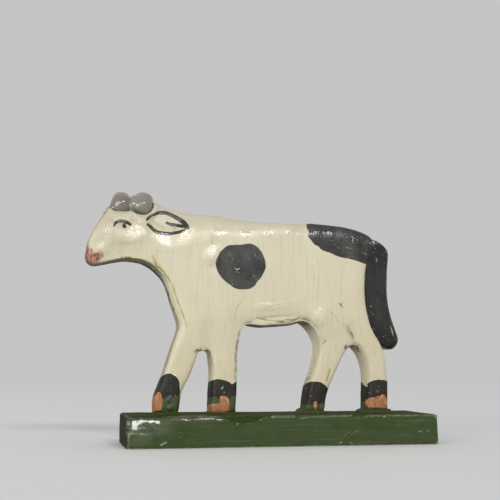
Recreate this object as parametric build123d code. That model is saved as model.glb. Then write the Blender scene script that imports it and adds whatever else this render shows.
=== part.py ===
"""A carved and painted wooden cow on a green board.

The cow is sawn from a plank, so its side outline carries the shape.
It faces -X and its left side faces -Y.
Millimetres, +Z up. The origin is the middle of the board's underside.
"""
import math
import os

from build123d import *

# Board
BASE_LENGTH = 126.0
BASE_WIDTH = 34.0
BASE_THICKNESS = 12.0
BASE_CORNER_ROUND = 1.2
BASE_EDGE_ROUND = 0.7

# Cow plank
COW_LENGTH = 126.0
COW_HEIGHT = 84.0
PLANK_THICKNESS = 18.0
EDGE_ROUND = 2.5
MUZZLE_THICKNESS = 13.5
LEG_THICKNESS = 12.0
FOOT_THICKNESS = 10.5
CREST_THICKNESS = 8.8

# Tail strip
TAIL_THICKNESS = 12.0
TAIL_EDGE_ROUND = 3.0

# Horn knobs
HORN_LENGTH = 10.2
HORN_WIDTH = 14.0
HORN_HEIGHT = 11.2
HORN_RISE = 4.4
HORN_SPACING = 8.4
HORN_TENON_DIAMETER = 3.2
HORN_TENON_LENGTH = 6.0

# Foot nails
NAIL_DIAMETER = 1.8
NAIL_HEAD_DIAMETER = 4.4
NAIL_HEAD_THICKNESS = 0.8
NAIL_HEAD_RECESS = 0.4
NAIL_GRIP = 8.0
NAIL_POINT = 2.0

# Filler beads round the feet
BEAD_REACH = 2.2
BEAD_RISE = 1.6
BEAD_LIP = 0.6
BEAD_CORNER_ROUND = 4.0

# Clearances and overruns
GLUE_GAP = 0.1
NAIL_GAP = 0.05
CUT_OVERRUN = 2.0

# Outline points as (share of COW_LENGTH from nose to hock, share of COW_HEIGHT from sole to crest)
TOP_LINE_SHARES = [
    (0.226, 0.000),
    (0.221, 0.062),
    (0.248, 0.166),
    (0.287, 0.345),
    (0.303, 0.418),
    (0.279, 0.512),
    (0.256, 0.625),
    (0.223, 0.686),
    (0.174, 0.737),
    (0.111, 0.741),
    (0.071, 0.725),
    (-0.003, 0.702),
    (0.007, 0.821),
    (0.023, 0.873),
    (0.071, 0.994),
    (0.202, 1.016),
    (0.254, 0.980),
    (0.393, 0.946),
    (0.568, 0.925),
    (0.758, 0.936),
    (0.848, 0.924),
    (0.905, 0.905),
    (0.956, 0.868),
    (0.921, 0.738),
    (0.912, 0.595),
    (0.929, 0.435),
    (0.978, 0.326),
    (0.991, 0.262),
    (1.000, 0.143),
    (1.001, 0.000),
]
HIND_GAP_SHARES = [
    (0.924, 0.000),
    (0.930, 0.155),
    (0.926, 0.232),
    (0.910, 0.300),
    (0.873, 0.348),
    (0.845, 0.293),
    (0.803, 0.157),
    (0.781, 0.095),
    (0.760, 0.000),
]
BELLY_SHARES = [
    (0.708, 0.000),
    (0.720, 0.119),
    (0.754, 0.264),
    (0.763, 0.333),
    (0.720, 0.456),
    (0.599, 0.448),
    (0.501, 0.425),
    (0.483, 0.292),
    (0.487, 0.190),
    (0.484, 0.000),
]
FRONT_GAP_SHARES = [
    (0.400, 0.000),
    (0.402, 0.095),
    (0.407, 0.190),
    (0.399, 0.280),
    (0.380, 0.310),
    (0.359, 0.288),
    (0.332, 0.174),
    (0.304, 0.105),
    (0.298, 0.000),
]
# The tail's outline behind the rump, with its first and last points inside the body
TAIL_SHARES = [
    (0.905, 0.869),
    (0.944, 0.890),
    (1.006, 0.824),
    (0.998, 0.536),
    (1.043, 0.351),
    (1.012, 0.305),
    (0.974, 0.332),
    (0.893, 0.452),
]

# Heights of the side bevels as shares of COW_HEIGHT, places along the cow as shares of COW_LENGTH,
# and the room before the front foot as a share of the room that the stance leaves on the board
LEG_LEVEL_SHARE = 0.266
BELLY_LEVEL_SHARE = 0.500
BACK_BEVEL_SHARE = 0.800
NECK_SHARE = 0.290
HORN_MIDDLE_SHARE = 0.140
CORNER_BLEND_SHARE = 0.45
ROUND_FIT_SHARE = 0.95
FRONT_MARGIN_SHARE = 0.4226
NAIL_PLACE_SHARES = [0.45, 0.50, 0.60, 0.50]
FEET = ["leading_front", "trailing_front", "leading_hind", "trailing_hind"]

FRONT_SOLE_SHARE = TOP_LINE_SHARES[0][0]
HIND_SOLE_SHARE = TOP_LINE_SHARES[-1][0]
STANCE = (HIND_SOLE_SHARE - FRONT_SOLE_SHARE) * COW_LENGTH
FRONT_SOLE_X = FRONT_MARGIN_SHARE * (BASE_LENGTH - STANCE) - BASE_LENGTH / 2
NOSE_X = FRONT_SOLE_X - FRONT_SOLE_SHARE * COW_LENGTH
SOLE_Z = BASE_THICKNESS
CREST_Z = SOLE_Z + COW_HEIGHT


def outline_points(shares):
    """Turns outline shares into (x, z) points of the cow's side view."""
    return [(NOSE_X + along * COW_LENGTH, SOLE_Z + up * COW_HEIGHT) for along, up in shares]


def turn_at(before, corner, after):
    """How far an outline turns at a corner, in radians, below zero where the corner stands out."""
    heading_in = math.atan2(corner[1] - before[1], corner[0] - before[0])
    heading_out = math.atan2(after[1] - corner[1], after[0] - corner[0])
    return math.remainder(heading_out - heading_in, 2 * math.pi)


def blend_radii(points):
    """The largest arcs that fit the inner corners of an outline."""
    radii = []
    for before, corner, after in zip(points, points[1:], points[2:]):
        run = min(math.dist(before, corner), math.dist(corner, after))
        radii.append(CORNER_BLEND_SHARE * run / math.tan(abs(turn_at(before, corner, after)) / 2))
    return radii


def fitting_round(wanted, stretches, narrow_spans):
    """The wanted edge round, or the largest that an outline's outward corners and narrow spans carry."""
    limits = [(rear - front) / 2 for front, rear in narrow_spans]
    for points in stretches:
        corners = zip(points, points[1:], points[2:])
        limits += [radius for radius, corner in zip(blend_radii(points), corners) if turn_at(*corner) < 0]
    return min([wanted] + [ROUND_FIT_SHARE * limit for limit in limits])


def carved_line(points):
    """A run of straight cuts with their corners rounded."""
    return FilletPolyline(*points, radius=blend_radii(points))


def side_slab(face, thickness):
    """A side-view face made into a slab about the middle plane."""
    return extrude(Plane.XZ * face, amount=thickness / 2, both=True)


def cow_stretches():
    """The four stretches of the cow's outline, each from the sole of one leg to that of the next."""
    named = (TOP_LINE_SHARES, HIND_GAP_SHARES, BELLY_SHARES, FRONT_GAP_SHARES)
    return [outline_points(shares) for shares in named]


def cow_face():
    """The cow's side view, without tail and horns."""
    stretches = cow_stretches()
    edges = []
    for stretch, following in zip(stretches, stretches[1:] + stretches[:1]):
        edges += carved_line(stretch).edges()
        edges += Line(stretch[-1], following[0]).edges()
    return make_face(edges)


def side_rims(slab):
    """The edges round both side faces of a slab."""
    by_depth = slab.edges().group_by(Axis.Y)
    return by_depth[0] + by_depth[-1]


def rounded_plank():
    """The sawn plank with its long edges knocked off, all but those of the soles."""
    plank = side_slab(cow_face(), PLANK_THICKNESS)
    carved = [rim for rim in side_rims(plank) if rim.bounding_box().max.Z > SOLE_Z + EDGE_ROUND]
    return fillet(carved, fitting_round(EDGE_ROUND, cow_stretches(), sole_spans()))


def plan_block():
    """The top view's block, which narrows the head towards the muzzle."""
    nose = NOSE_X - CUT_OVERRUN
    neck = NOSE_X + NECK_SHARE * COW_LENGTH
    rear = NOSE_X + COW_LENGTH + CUT_OVERRUN
    side = PLANK_THICKNESS / 2
    muzzle = MUZZLE_THICKNESS / 2
    corners = [(nose, -muzzle), (neck, -side), (rear, -side), (rear, side), (neck, side), (nose, muzzle)]
    return extrude(make_face(Polyline(*corners, close=True).edges()), amount=CREST_Z + CUT_OVERRUN)


def front_block():
    """The front view's block, which bevels the back and narrows the legs."""
    levels = [
        (FOOT_THICKNESS / 2, SOLE_Z),
        (LEG_THICKNESS / 2, SOLE_Z + LEG_LEVEL_SHARE * COW_HEIGHT),
        (PLANK_THICKNESS / 2, SOLE_Z + BELLY_LEVEL_SHARE * COW_HEIGHT),
        (PLANK_THICKNESS / 2, SOLE_Z + BACK_BEVEL_SHARE * COW_HEIGHT),
        (CREST_THICKNESS / 2, CREST_Z),
        (CREST_THICKNESS / 2, CREST_Z + CUT_OVERRUN),
    ]
    corners = levels + [(-y, z) for y, z in reversed(levels)]
    face = make_face(Polyline(*corners, close=True).edges())
    return extrude(Plane.YZ * face, amount=COW_LENGTH, both=True)


def horn_centres():
    """The middles of the front and rear horn knobs."""
    middle = NOSE_X + HORN_MIDDLE_SHARE * COW_LENGTH
    z = CREST_Z + HORN_RISE - HORN_HEIGHT / 2
    return [Vector(middle - HORN_SPACING / 2, 0, z), Vector(middle + HORN_SPACING / 2, 0, z)]


def horn_knob(centre, growth):
    """A rounded knob, grown on every side by the gap that its seat needs."""
    radii = tuple(size / 2 + growth for size in (HORN_LENGTH, HORN_WIDTH, HORN_HEIGHT))
    return Pos(centre) * scale(Sphere(1), by=radii)


def horn_tenon(centre, growth):
    """The peg below a knob, which the head's hole takes."""
    foot = centre - Vector(0, 0, HORN_HEIGHT / 2 + HORN_TENON_LENGTH + growth)
    length = HORN_HEIGHT / 2 + HORN_TENON_LENGTH + growth
    return extrude(Plane(foot) * Circle(HORN_TENON_DIAMETER / 2 + growth), amount=length)


def horn(centre, outward):
    """One horn knob with its tenon, trimmed flat where the two horns meet."""
    whole = horn_knob(centre, 0) + horn_tenon(centre, 0)
    meeting_x = NOSE_X + HORN_MIDDLE_SHARE * COW_LENGTH + outward * GLUE_GAP
    other_side = Box(2 * HORN_LENGTH, 2 * HORN_WIDTH, 2 * HORN_HEIGHT)
    return whole - Pos(meeting_x - outward * HORN_LENGTH, 0, centre.Z) * other_side


def sole_spans():
    """The front and rear x of each sole, from the front foot to the hind one."""
    top, hind, belly, front = cow_stretches()
    return [
        (top[0][0], front[-1][0]),
        (front[0][0], belly[-1][0]),
        (belly[0][0], hind[-1][0]),
        (hind[0][0], top[-1][0]),
    ]


def nail_x(foot):
    """Where the nail of a foot stands."""
    front, rear = sole_spans()[foot]
    return front + NAIL_PLACE_SHARES[foot] * (rear - front)


def foot_nail(foot, gap):
    """A flat-headed nail driven up through the board, grown by the gap of its hole."""
    radius = NAIL_DIAMETER / 2 + gap
    head_radius = NAIL_HEAD_DIAMETER / 2 + gap
    head_low = NAIL_HEAD_RECESS
    head_high = head_low + NAIL_HEAD_THICKNESS + gap
    tip = SOLE_Z + NAIL_GRIP + gap
    outline = [
        (0, head_low),
        (head_radius, head_low),
        (head_radius, head_high),
        (radius, head_high),
        (radius, tip - NAIL_POINT),
        (0, tip),
    ]
    half_section = make_face(Polyline(*outline, close=True).edges())
    return Pos(nail_x(foot), 0, 0) * revolve(Plane.XZ * half_section, axis=Axis.Z)


def nail_recess(foot):
    """The countersunk mouth under a nail's head."""
    mouth = Circle(NAIL_HEAD_DIAMETER / 2 + NAIL_GAP)
    return extrude(Plane((nail_x(foot), 0, 0)) * mouth, amount=NAIL_HEAD_RECESS)


def carved_cow():
    """Trunk, neck, head and legs in one carved plank, before it is drilled."""
    return rounded_plank() & plan_block() & front_block()


def cow_body(carving):
    """The carving with its horn seats and nail holes."""
    body = carving
    for centre in horn_centres():
        body -= horn_knob(centre, GLUE_GAP)
        body -= horn_tenon(centre, GLUE_GAP)
    for foot in range(len(FEET)):
        body -= foot_nail(foot, NAIL_GAP)
    return body


def tail():
    """The tail strip, glued along the rump's sawn rear edge."""
    points = outline_points(TAIL_SHARES)
    edges = carved_line(points).edges() + Line(points[-1], points[0]).edges()
    strip = side_slab(make_face(edges), TAIL_THICKNESS)
    inner = max(points[0][0], points[-1][0])
    outer = [rim for rim in side_rims(strip) if rim.bounding_box().max.X > inner]
    rounded = fillet(outer, fitting_round(TAIL_EDGE_ROUND, [points], []))
    return rounded - side_slab(cow_face(), PLANK_THICKNESS)


def base_board():
    """The board that carries the cow."""
    board = Pos(0, 0, BASE_THICKNESS / 2) * Box(BASE_LENGTH, BASE_WIDTH, BASE_THICKNESS)
    board = fillet(board.edges().filter_by(Axis.Z), BASE_CORNER_ROUND)
    board = fillet(board.edges().group_by(Axis.Z)[-1], BASE_EDGE_ROUND)
    for foot in range(len(FEET)):
        board -= foot_nail(foot, NAIL_GAP)
        board -= nail_recess(foot)
    return board


def foot_bead(foot, carving):
    """The bead of filler that runs round a foot where it meets the board."""
    front, rear = sole_spans()[foot]
    length = rear - front + 2 * BEAD_REACH
    width = FOOT_THICKNESS + 2 * BEAD_REACH
    run = BEAD_REACH - BEAD_LIP
    lower = RectangleRounded(length, width, BEAD_CORNER_ROUND)
    upper = RectangleRounded(length - 2 * run, width - 2 * run, BEAD_CORNER_ROUND - run)
    mound = loft([lower.face(), (Pos(0, 0, BEAD_RISE) * upper).face()], ruled=True)
    return Pos((front + rear) / 2, 0, SOLE_Z) * mound - carving


def build():
    """Writes every piece to its own file."""
    os.makedirs("parts", exist_ok=True)
    carving = carved_cow()
    front_centre, rear_centre = horn_centres()
    pieces = {
        "base_board": base_board(),
        "cow_body": cow_body(carving),
        "front_horn": horn(front_centre, -1),
        "rear_horn": horn(rear_centre, 1),
        "tail": tail(),
    }
    for foot, name in enumerate(FEET):
        pieces[f"foot_nail_{name}"] = foot_nail(foot, 0)
        pieces[f"foot_bead_{name}"] = foot_bead(foot, carving)
    for name, piece in pieces.items():
        export_step(piece, f"parts/{name}.step")
        print(name, round(piece.volume, 1), piece.is_valid)


build()
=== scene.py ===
"""The carved and painted wooden cow on its green board: carving, paint, camera and light."""
import math

import bmesh
import bpy
import numpy as np
from mathutils import Matrix, Vector


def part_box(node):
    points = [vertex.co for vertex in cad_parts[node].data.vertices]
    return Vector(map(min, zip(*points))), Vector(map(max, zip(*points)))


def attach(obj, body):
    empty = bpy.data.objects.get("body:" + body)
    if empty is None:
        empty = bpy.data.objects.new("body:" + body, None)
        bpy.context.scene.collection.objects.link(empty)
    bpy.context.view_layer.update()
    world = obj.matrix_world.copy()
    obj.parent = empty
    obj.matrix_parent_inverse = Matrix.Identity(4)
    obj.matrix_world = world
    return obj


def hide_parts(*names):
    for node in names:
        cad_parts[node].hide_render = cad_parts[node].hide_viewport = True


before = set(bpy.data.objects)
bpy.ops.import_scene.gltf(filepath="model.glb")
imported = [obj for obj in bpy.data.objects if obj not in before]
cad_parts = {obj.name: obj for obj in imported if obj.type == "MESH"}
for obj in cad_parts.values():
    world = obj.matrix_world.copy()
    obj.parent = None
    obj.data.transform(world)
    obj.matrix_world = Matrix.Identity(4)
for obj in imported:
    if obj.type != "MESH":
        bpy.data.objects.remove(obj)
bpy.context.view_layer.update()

MM = 0.001
scene = bpy.context.scene

# The photograph's viewpoint: millimetres, degrees and pixels
EYE = np.array((-93.35, -341.24, 28.99))
YAW, PITCH, ROLL = -13.385, 8.112, -0.231
PICTURE_WIDTH = 500.0
FOCAL_PIXELS = 850.0
SENSOR = 36.0

# Sizes, places and shares on the pieces: lengths are in mm, and a pair says where a change starts and ends
BOARD_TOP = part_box("base_board")[1][2] / MM
PLANK_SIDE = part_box("cow_body")[1][1] / MM
NAIL_RADIUS = 0.9
NAIL_HEAD_THICKNESS = 0.8
NAIL_POINT = 2.0
NAIL_SIDES = 24
HORN_MIDDLES = [(-66.06, 94.8), (-57.66, 94.8)]
HORN_REACH = (5.1, 5.6)
HORN_SQUARENESS = 2.4
HORN_FOOT = (88, 91)
HORN_TOP = (2.0, 5.0)
HORN_TOP_RISE = 0.5
HORN_SIDES_SHARE = 0.12
HORN_WAIST_SHARE = 0.15
HORN_WAIST = (-5.0, -0.5)
# Lumps of thick paint on the head, as (middle, reach)
HORN_BRIDGE = ((-61.5, 0.0, 94.5), (4.2, 6.1, 4.4))
HORN_SEAT = ((-66.0, 0.0, 90.6), (5.2, 6.4, 2.6))
HORN_SKIRT = ((-69.6, 0.0, 93.2), (2.7, 5.0, 1.9))
# How the horns' sides lean in towards the top, as (-1 for the front side or 1 for the rear side, lean,
# and where it starts, in shares of the reach above the middle)
HORN_LEANS = {"front_horn": [(-1, 1.3, -0.5), (1, 0.6, 0.0)], "rear_horn": [(-1, 0.9, 0.0)]}

# The sawn plank's plain bevels, as (level, slope), and how the whittling departs from them
BACK_BEVEL = (79.2, 0.274)
BELLY_TAPER = (54.0, 0.1526)
LEG_TAPER = (34.34, 0.119)
PLAIN_BEND = 1.8
WHITTLED_BEND = 6.5
CREASE_BEND = 2.6
UPPER_SLOPE = 0.49
UPPER_LIMIT = 0.6
# Whittling of the cow and of the tail
FOOT_SEAT = 2.5
LEG_TOP = (36, 52)
LEG_FULLNESS = 0.15
LONG_EDGES = (2.5, 4.0)
JAW_BACK = (-56, -48)
JAW_EDGE_BACK = (-46, -38)
JAW_TOP = (80, 86)
JAW_TILT = 0.05
JAW_KEPT_SHARE = 0.8
LEAST_ROUND_SHARE = 0.04
HORN_SEAT_FULLNESS = 0.8
FLAT_DEPTH = 0.8
FLAT_SHARE = 0.9
FLAT_MIDDLE = 0.2
FLAT_RUN_OUT = (-0.2, 3.6)
CRACK_DEPTH = 0.14
THROAT_DEPTH = 0.1
BLACK_THICKNESS = 0.05
# Where painted shade goes: the undersides, and the far front edges of the chest and the legs
UNDERSIDE = (30, 44)
CHEST = (45, 60)
FOREMOST = (-40, -34)
CHEST_SHADE_MIDDLE = -2.2
LEG_SHADE_MIDDLE = -5.0
TAIL_ROOT = (70, 82)
TAIL_ROOT_REACH = 3.2
TAIL_ROOT_SPREAD = 1.6
TAIL_OVER_RUMP = 0.05
TAIL_TOP = (78, 86)
TAIL_TOP_DROP = 1.2
TAIL_BACK_FULLNESS = 0.4

# Wear of the board and of the skirts round the feet
BOARD_FRONT = (13.5, 16)
BOARD_RUB_FRONT = (14.5, 16.5)
BOARD_WEAR_DEPTH = 0.30
DENT_DEPTH = 0.75
DENT_DROP = 0.35
RUB_SLOPE = 0.33
RUBBED_END = (-54, -43)
RUBBED_END_LEVEL = 5.2
RUBBED_END_BEND = 0.8
RUBBED_EDGE = (-24, -12)
RUBBED_EDGE_LEVEL = 10.6
RUBBED_EDGE_BEND = 0.3
GLOSSY_END = (4.2, 6.4)
GLOSSY_EDGE = (9.8, 10.8)
SKIRT_SEAT = 0.5
FRONT_SKIRT_FLATTENED_SHARE = 0.4
FRONT_SKIRT_SHRUNK_SHARE = 0.08
FRONT_SKIRT_BROWN = 0.8
HIND_SKIRT_BROWN = 0.3
SKIRT_TONGUE = 1.2
SKIRT_TONGUE_LENGTH = 2.2

# How finely each piece is divided, and the fewest points that a real part of it has
COW_FINENESS = 0.42
TAIL_FINENESS = 0.4
HORN_FINENESS = 0.3
BOARD_FINENESS = 0.5
SKIRT_FINENESS = 0.22
SPECK_POINTS = 200

# Unevenness, laid in coats of (height, wave lengths along x, y and z, shift)
HAND_DRIFT_ALONG = [(0.7, (17, 40, 13), 0), (0.2, (5, 40, 4), 0)]
HAND_DRIFT_UP = [(0.6, (15, 40, 15), 50), (0.2, (5, 40, 5), 90)]
CREASE_SWAY_PIXELS = [(2.2, (19, 1000, 1), 0), (1.4, (7, 1000, 1), 300)]
COW_COATS = [(0.15, (11, 14, 19), 0), (0.07, (4.5, 5, 9), 0)]
COW_GRAIN = [(0.03, (1.3, 3.0, 17), 0)]
COW_KNIFE_MARKS = [(0.05, (1.4, 1.6, 2.2), 0)]
COW_FLAKES = [(1.0, (1.6, 2.4, 2.0), 0), (0.4, (0.9, 1.2, 1.1), 0)]
TAIL_COATS = [(0.12, (6, 6, 13), 0), (0.05, (2.2, 2.6, 5), 0)]
HORN_COATS = [(0.25, (4, 5, 4.5), 0), (0.1, (1.8, 2.2, 2), 0)]
BOARD_COATS = [(0.10, (16, 12, 7), 0), (0.05, (5, 4, 3), 0), (0.03, (2.4, 2.0, 1.4), 0)]
BOARD_WEAR = [(1.0, (4.5, 3.5, 3), 0), (0.5, (1.6, 1.5, 1.4), 0)]
RUBBED_END_COATS = [(0.10, (2.6, 40, 2.0), 0), (0.06, (1.4, 40, 1.0), 0)]
RUBBED_END_DRIFT = [(3.0, (9, 9, 4), 0)]
RUBBED_END_SWAY = [(1.2, (5, 40, 5), 0)]
RUBBED_EDGE_DRIFT = [(3.0, (6, 9, 9), 0)]
RUBBED_EDGE_SWAY = [(0.4, (4, 40, 40), 0)]
SKIRT_COATS = [(0.45, (3.6, 3.6, 2.4), 0), (0.18, (1.3, 1.3, 1.2), 0)]
# Gouge marks: depth, and lengths along x, y and z
COW_GOUGE_DEPTH = 0.10
COW_GOUGE = (4.2, 5.0, 6.5)
TAIL_GOUGE_DEPTH = 0.05
TAIL_GOUGE = (4, 4, 9)

# Paint outlines, as points read off the photograph, in pixels
FLANK_SPOT = [
    (215.5, 263), (217, 258), (221, 251), (228, 245.5), (234, 244.8), (241, 244.5), (250, 243.5), (256, 246),
    (261, 251), (264, 257), (265.5, 262), (265.5, 268), (263, 274), (260, 279), (257, 282), (254, 286.5),
    (249, 289), (243, 289.5), (236, 288.5), (230, 285), (224, 280), (219, 274), (216.5, 269),
]
RUMP_SADDLE = [
    (306.5, 221), (306.5, 225), (307, 229), (309, 232), (308, 236), (311, 240), (315, 245), (318, 246),
    (322, 250), (330, 253), (340, 257), (350, 259), (360, 262), (366.5, 264.5), (380, 268), (398, 268),
    (400, 200), (306, 200),
]
SOCKS = [
    [(148, 402), (155, 390), (158, 383), (160.5, 378), (164, 375), (168, 373.5), (172, 374), (176, 377),
     (179, 381), (179.7, 386), (180, 392), (179, 399), (178, 414), (146, 414)],
    [(203, 414), (205, 395), (207, 386), (209, 382), (213, 380), (219, 379), (225, 380.5), (230, 382.5),
     (232, 384), (235, 382.5), (240, 381.5), (241, 414)],
    [(294, 414), (297, 396), (300, 389), (303, 386), (307, 383), (313, 381.5), (320, 382), (325, 385),
     (328, 388), (330, 386), (334, 384.5), (335, 392), (328, 414)],
    [(352, 414), (357, 395), (359, 384), (361.5, 382), (364, 385), (368, 387), (367, 384), (372, 381),
     (378, 379.5), (384, 380), (387.5, 381), (393, 382), (393, 414)],
]
HOOVES = [
    [(159, 392), (162, 397), (163, 403), (162.5, 409.5), (151, 411), (149, 406), (153, 398)],
    [(220, 396.5), (224, 396), (228, 397.5), (229.5, 403), (229.5, 411), (207, 411.5), (208, 404),
     (214, 403.5), (219.5, 402.5)],
    [(313.8, 402.6), (317, 402.4), (317, 412), (314, 412)],
    [(365, 401), (370, 398), (375, 397), (378, 396), (382, 394.5), (386, 397), (388, 403), (389, 407.5),
     (370, 407.5), (365.5, 404.5)],
]
GREEN_LAPS = [
    [(163.5, 399), (167, 397.5), (172, 397), (178, 396), (183, 400), (183, 414), (163, 414)],
    [(204, 399.5), (210, 397.5), (216, 396.8), (219, 399), (219, 403), (212, 404), (204, 405)],
    [(230, 398), (234, 396), (241, 396), (241, 414), (230, 414)],
    [(292, 405), (303, 404.5), (312.5, 405), (313, 414), (292, 414)],
    [(318, 405), (324, 403), (332, 403), (332, 414), (318, 414)],
    [(350, 400), (358, 401), (364, 402.5), (366, 406), (372, 408.5), (392, 408), (392, 414), (350, 414)],
]
HORN_GREY = [
    (107, 206), (113, 210), (118, 211), (124, 210), (129, 210.5), (134, 213), (140, 214.5), (145, 213.5),
    (150, 210), (153, 206), (154, 202), (152, 197), (152, 180), (105, 180), (104, 200),
]
MUZZLE_WEAR = [
    (82, 249), (87, 246), (91, 249), (95, 253), (101, 252), (103, 256), (99, 260), (94, 266), (82, 264),
]

# Brush strokes, as (pixel x, pixel y, half width in mm)
INK_LINES = [
    [(114, 226, 0.18), (116, 222.6, 0.38), (120, 221.2, 0.48), (126, 222.2, 0.5), (130.4, 224.6, 0.4)],
    [(124.0, 225.4, 0.5), (124.6, 226.4, 0.62), (125.4, 227.0, 0.4)],
    [(147, 219.6, 0.3), (149.5, 217, 0.46), (152, 215.4, 0.34)],
    [(154.4, 214.6, 0.4), (158, 213, 0.52), (162, 212.7, 0.56), (167, 213.4, 0.56), (172, 215.5, 0.6),
     (178, 218.6, 0.7), (183, 222, 0.72), (187, 226, 0.62), (188.4, 228.2, 0.3)],
    [(147.8, 224.7, 0.42), (150.5, 226.8, 0.5), (153.5, 229.8, 0.5), (157.5, 232.2, 0.5), (163, 233.2, 0.46),
     (170, 233.6, 0.46), (177, 232.6, 0.46), (184.6, 230.2, 0.28)],
    [(167, 223, 0.36), (171, 224.6, 0.46), (177, 225.4, 0.46), (183, 226.4, 0.46), (187.4, 227.6, 0.4)],
]
INK_SPREAD = 0.18
# Pale nicks and painted highlights: those on the socks and on the tail's edge and tip are painted highlights
PALE_NICKS_AND_HIGHLIGHTS = [
    [(234, 267, 0.1), (237, 269.5, 0.2), (240, 268, 0.1)],
    [(236, 271.5, 0.08), (239, 273, 0.12)],
    [(254.5, 254, 0.1), (256, 256.5, 0.14)],
    [(228, 251.5, 0.08), (230, 252.8, 0.12)],
    [(248.4, 258.6, 0.1), (249.6, 260, 0.1)],
    [(253, 275, 0.1), (255, 277, 0.1)],
    [(257.5, 270.5, 0.08), (258.5, 271.5, 0.1)],
    [(345.5, 247.6, 0.08), (352.5, 248.6, 0.12)],
    [(361, 252, 0.08), (366.5, 254.6, 0.14)],
    [(352.6, 239.6, 0.1), (353.4, 243.6, 0.12)],
    [(375, 257.4, 0.1), (377, 259.6, 0.16), (376, 262, 0.1)],
    [(370.4, 306, 0.14), (371.4, 306.4, 0.14)],
    [(220.2, 387.6, 0.08), (221.6, 389, 0.18), (223.4, 386.4, 0.1)],
    [(214.4, 392, 0.2), (215, 392.4, 0.2)],
    [(310.6, 396, 0.12), (312, 397, 0.1)],
    [(387.0, 278, 0.05), (387.4, 288, 0.12), (387.0, 298, 0.05)],
    [(390.2, 326, 0.1), (392, 331, 0.22), (393.2, 336, 0.12)],
]
# Drips of thick paint on the feet, as (pixel x, pixel y, height in mm), glossy that far to either side
DRIP_HALF_WIDTH = 0.75
PAINT_DRIPS = [
    [(170, 408, 0.9), (171, 408.4, 0.9)],
    [(169.8, 397.6, 0.45), (168.6, 400.6, 0.4)],
    [(174.8, 376.6, 0.4), (175.4, 377, 0.4)],
    [(224.4, 394, 0.45), (224.6, 394.6, 0.45)],
    [(315.4, 407.6, 0.6), (315.6, 408.4, 0.6)],
    [(378.4, 393, 0.45), (378.8, 393.8, 0.45)],
]
# Small flats that catch a lamp, other glossy places, stains and cracks,
# as (pixel x, pixel y, half width in mm)
GLINTING_FLATS = [
    [(121.5, 236.5, 0.5), (128, 234, 1.3), (134, 231, 2.0), (138.5, 227.5, 2.2), (140.5, 224.5, 0.8)],
    [(108.5, 223.5, 0.5), (107.6, 229, 1.0), (106, 236, 0.9)],
    [(103, 242, 0.6), (100.5, 246.5, 1.0)],
    [(158, 234.5, 1.0), (163, 238, 2.4), (167, 241.5, 1.4)],
    [(180, 239, 0.8), (184, 236, 1.8), (189.5, 231, 1.4)],
    [(207.5, 256, 0.6), (211, 251, 1.3), (214, 247, 0.7)],
]
GLOSSY_STROKES = GLINTING_FLATS + PAINT_DRIPS + [
    [(161, 246.5, 0.8), (157.5, 251.5, 1.1), (155, 256, 0.6)],
    [(183, 217, 0.3), (188, 220.5, 0.4)],
    [(134.2, 212.5, 0.5), (135.5, 216, 0.7), (139, 219.6, 0.6)],
    [(214, 231, 1.0), (220, 232, 1.4), (224.5, 231, 0.9)],
    [(241, 232, 0.9), (247, 232.5, 1.5), (253, 231, 0.9)],
    [(266, 234, 1.0), (270.5, 234.5, 1.3)],
    [(273, 239.4, 0.5), (282, 239, 0.6)],
    [(288.5, 233, 0.9), (294, 232.5, 1.2), (298.5, 232, 0.8)],
    [(311, 233, 0.6), (318, 232.5, 1.0)],
    [(324.5, 232, 0.9), (332.5, 232, 1.2)],
    [(346, 236, 0.8), (354, 240, 1.2), (360, 246, 0.7)],
    [(260, 307, 0.8), (266, 306, 1.2), (270, 307, 0.6)],
    [(283, 304.5, 0.5), (291, 303.6, 0.6)],
    [(318, 313, 0.8), (322, 311.5, 1.5), (327, 314, 0.8)],
]
THROAT_STROKES = [
    [(152, 255, 0.1), (155, 261, 0.2), (160, 267, 0.18), (165, 273.5, 0.16), (170, 281, 0.14),
     (175, 290, 0.1)],
    [(153.5, 262.5, 0.12), (158, 267.5, 0.3), (162.5, 271.5, 0.18), (167, 278.5, 0.1)],
    [(172, 286, 0.08), (176, 296, 0.14), (179, 305, 0.16), (183, 315, 0.18), (187, 327, 0.08)],
    [(330, 369, 0.16), (328.5, 375, 0.24), (326.6, 381, 0.16)],
    [(242, 301, -0.04), (238, 306, 0.04), (235, 312, -0.04)],
    [(239, 309, -0.04), (235.4, 314, 0.02), (234, 319, -0.04)],
]
DARK_CRACKS = [
    [(313, 246, -0.04), (318, 256, 0.0), (317, 266, 0.0), (314, 278, 0.02), (313.6, 290, 0.0),
     (312.6, 302, -0.04)],
    [(261, 305.4, 0.0), (266, 306, 0.05), (270, 306.8, 0.06), (276, 305.2, 0.04), (284, 304.4, 0.04),
     (292, 304, 0.0)],
    [(325, 308, -0.04), (330, 311, 0.02), (335, 317, 0.02), (341, 326, -0.04)],
    [(257, 318.2, 0.0), (262, 319.2, 0.14), (267, 320.2, 0.18), (274, 321.0, 0.16), (280, 321.8, 0.32),
     (284, 320.8, 0.26), (288, 319.8, 0.2), (293, 320.4, 0.32), (297, 319.2, 0.24), (300.4, 317.2, 0.0)],
    [(277, 323.4, 0.0), (283, 323.0, 0.14), (290, 322.4, 0.1), (294, 322.2, 0.0)],
    [(339, 303, 0.14), (341, 305, 0.22), (343.4, 308.2, 0.14)],
    [(342.8, 303.4, 0.1), (341, 305, 0.2), (340.4, 306.6, 0.1)],
    [(350.6, 332.6, 0.2), (352.2, 335, 0.26), (354, 338, 0.14)],
    [(324.8, 339, 0.12), (325.4, 341.4, 0.2), (322.6, 344, 0.1)],
    [(357, 346, 0.12), (358, 349.6, 0.22), (358.6, 352.4, 0.12)],
]

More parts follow.
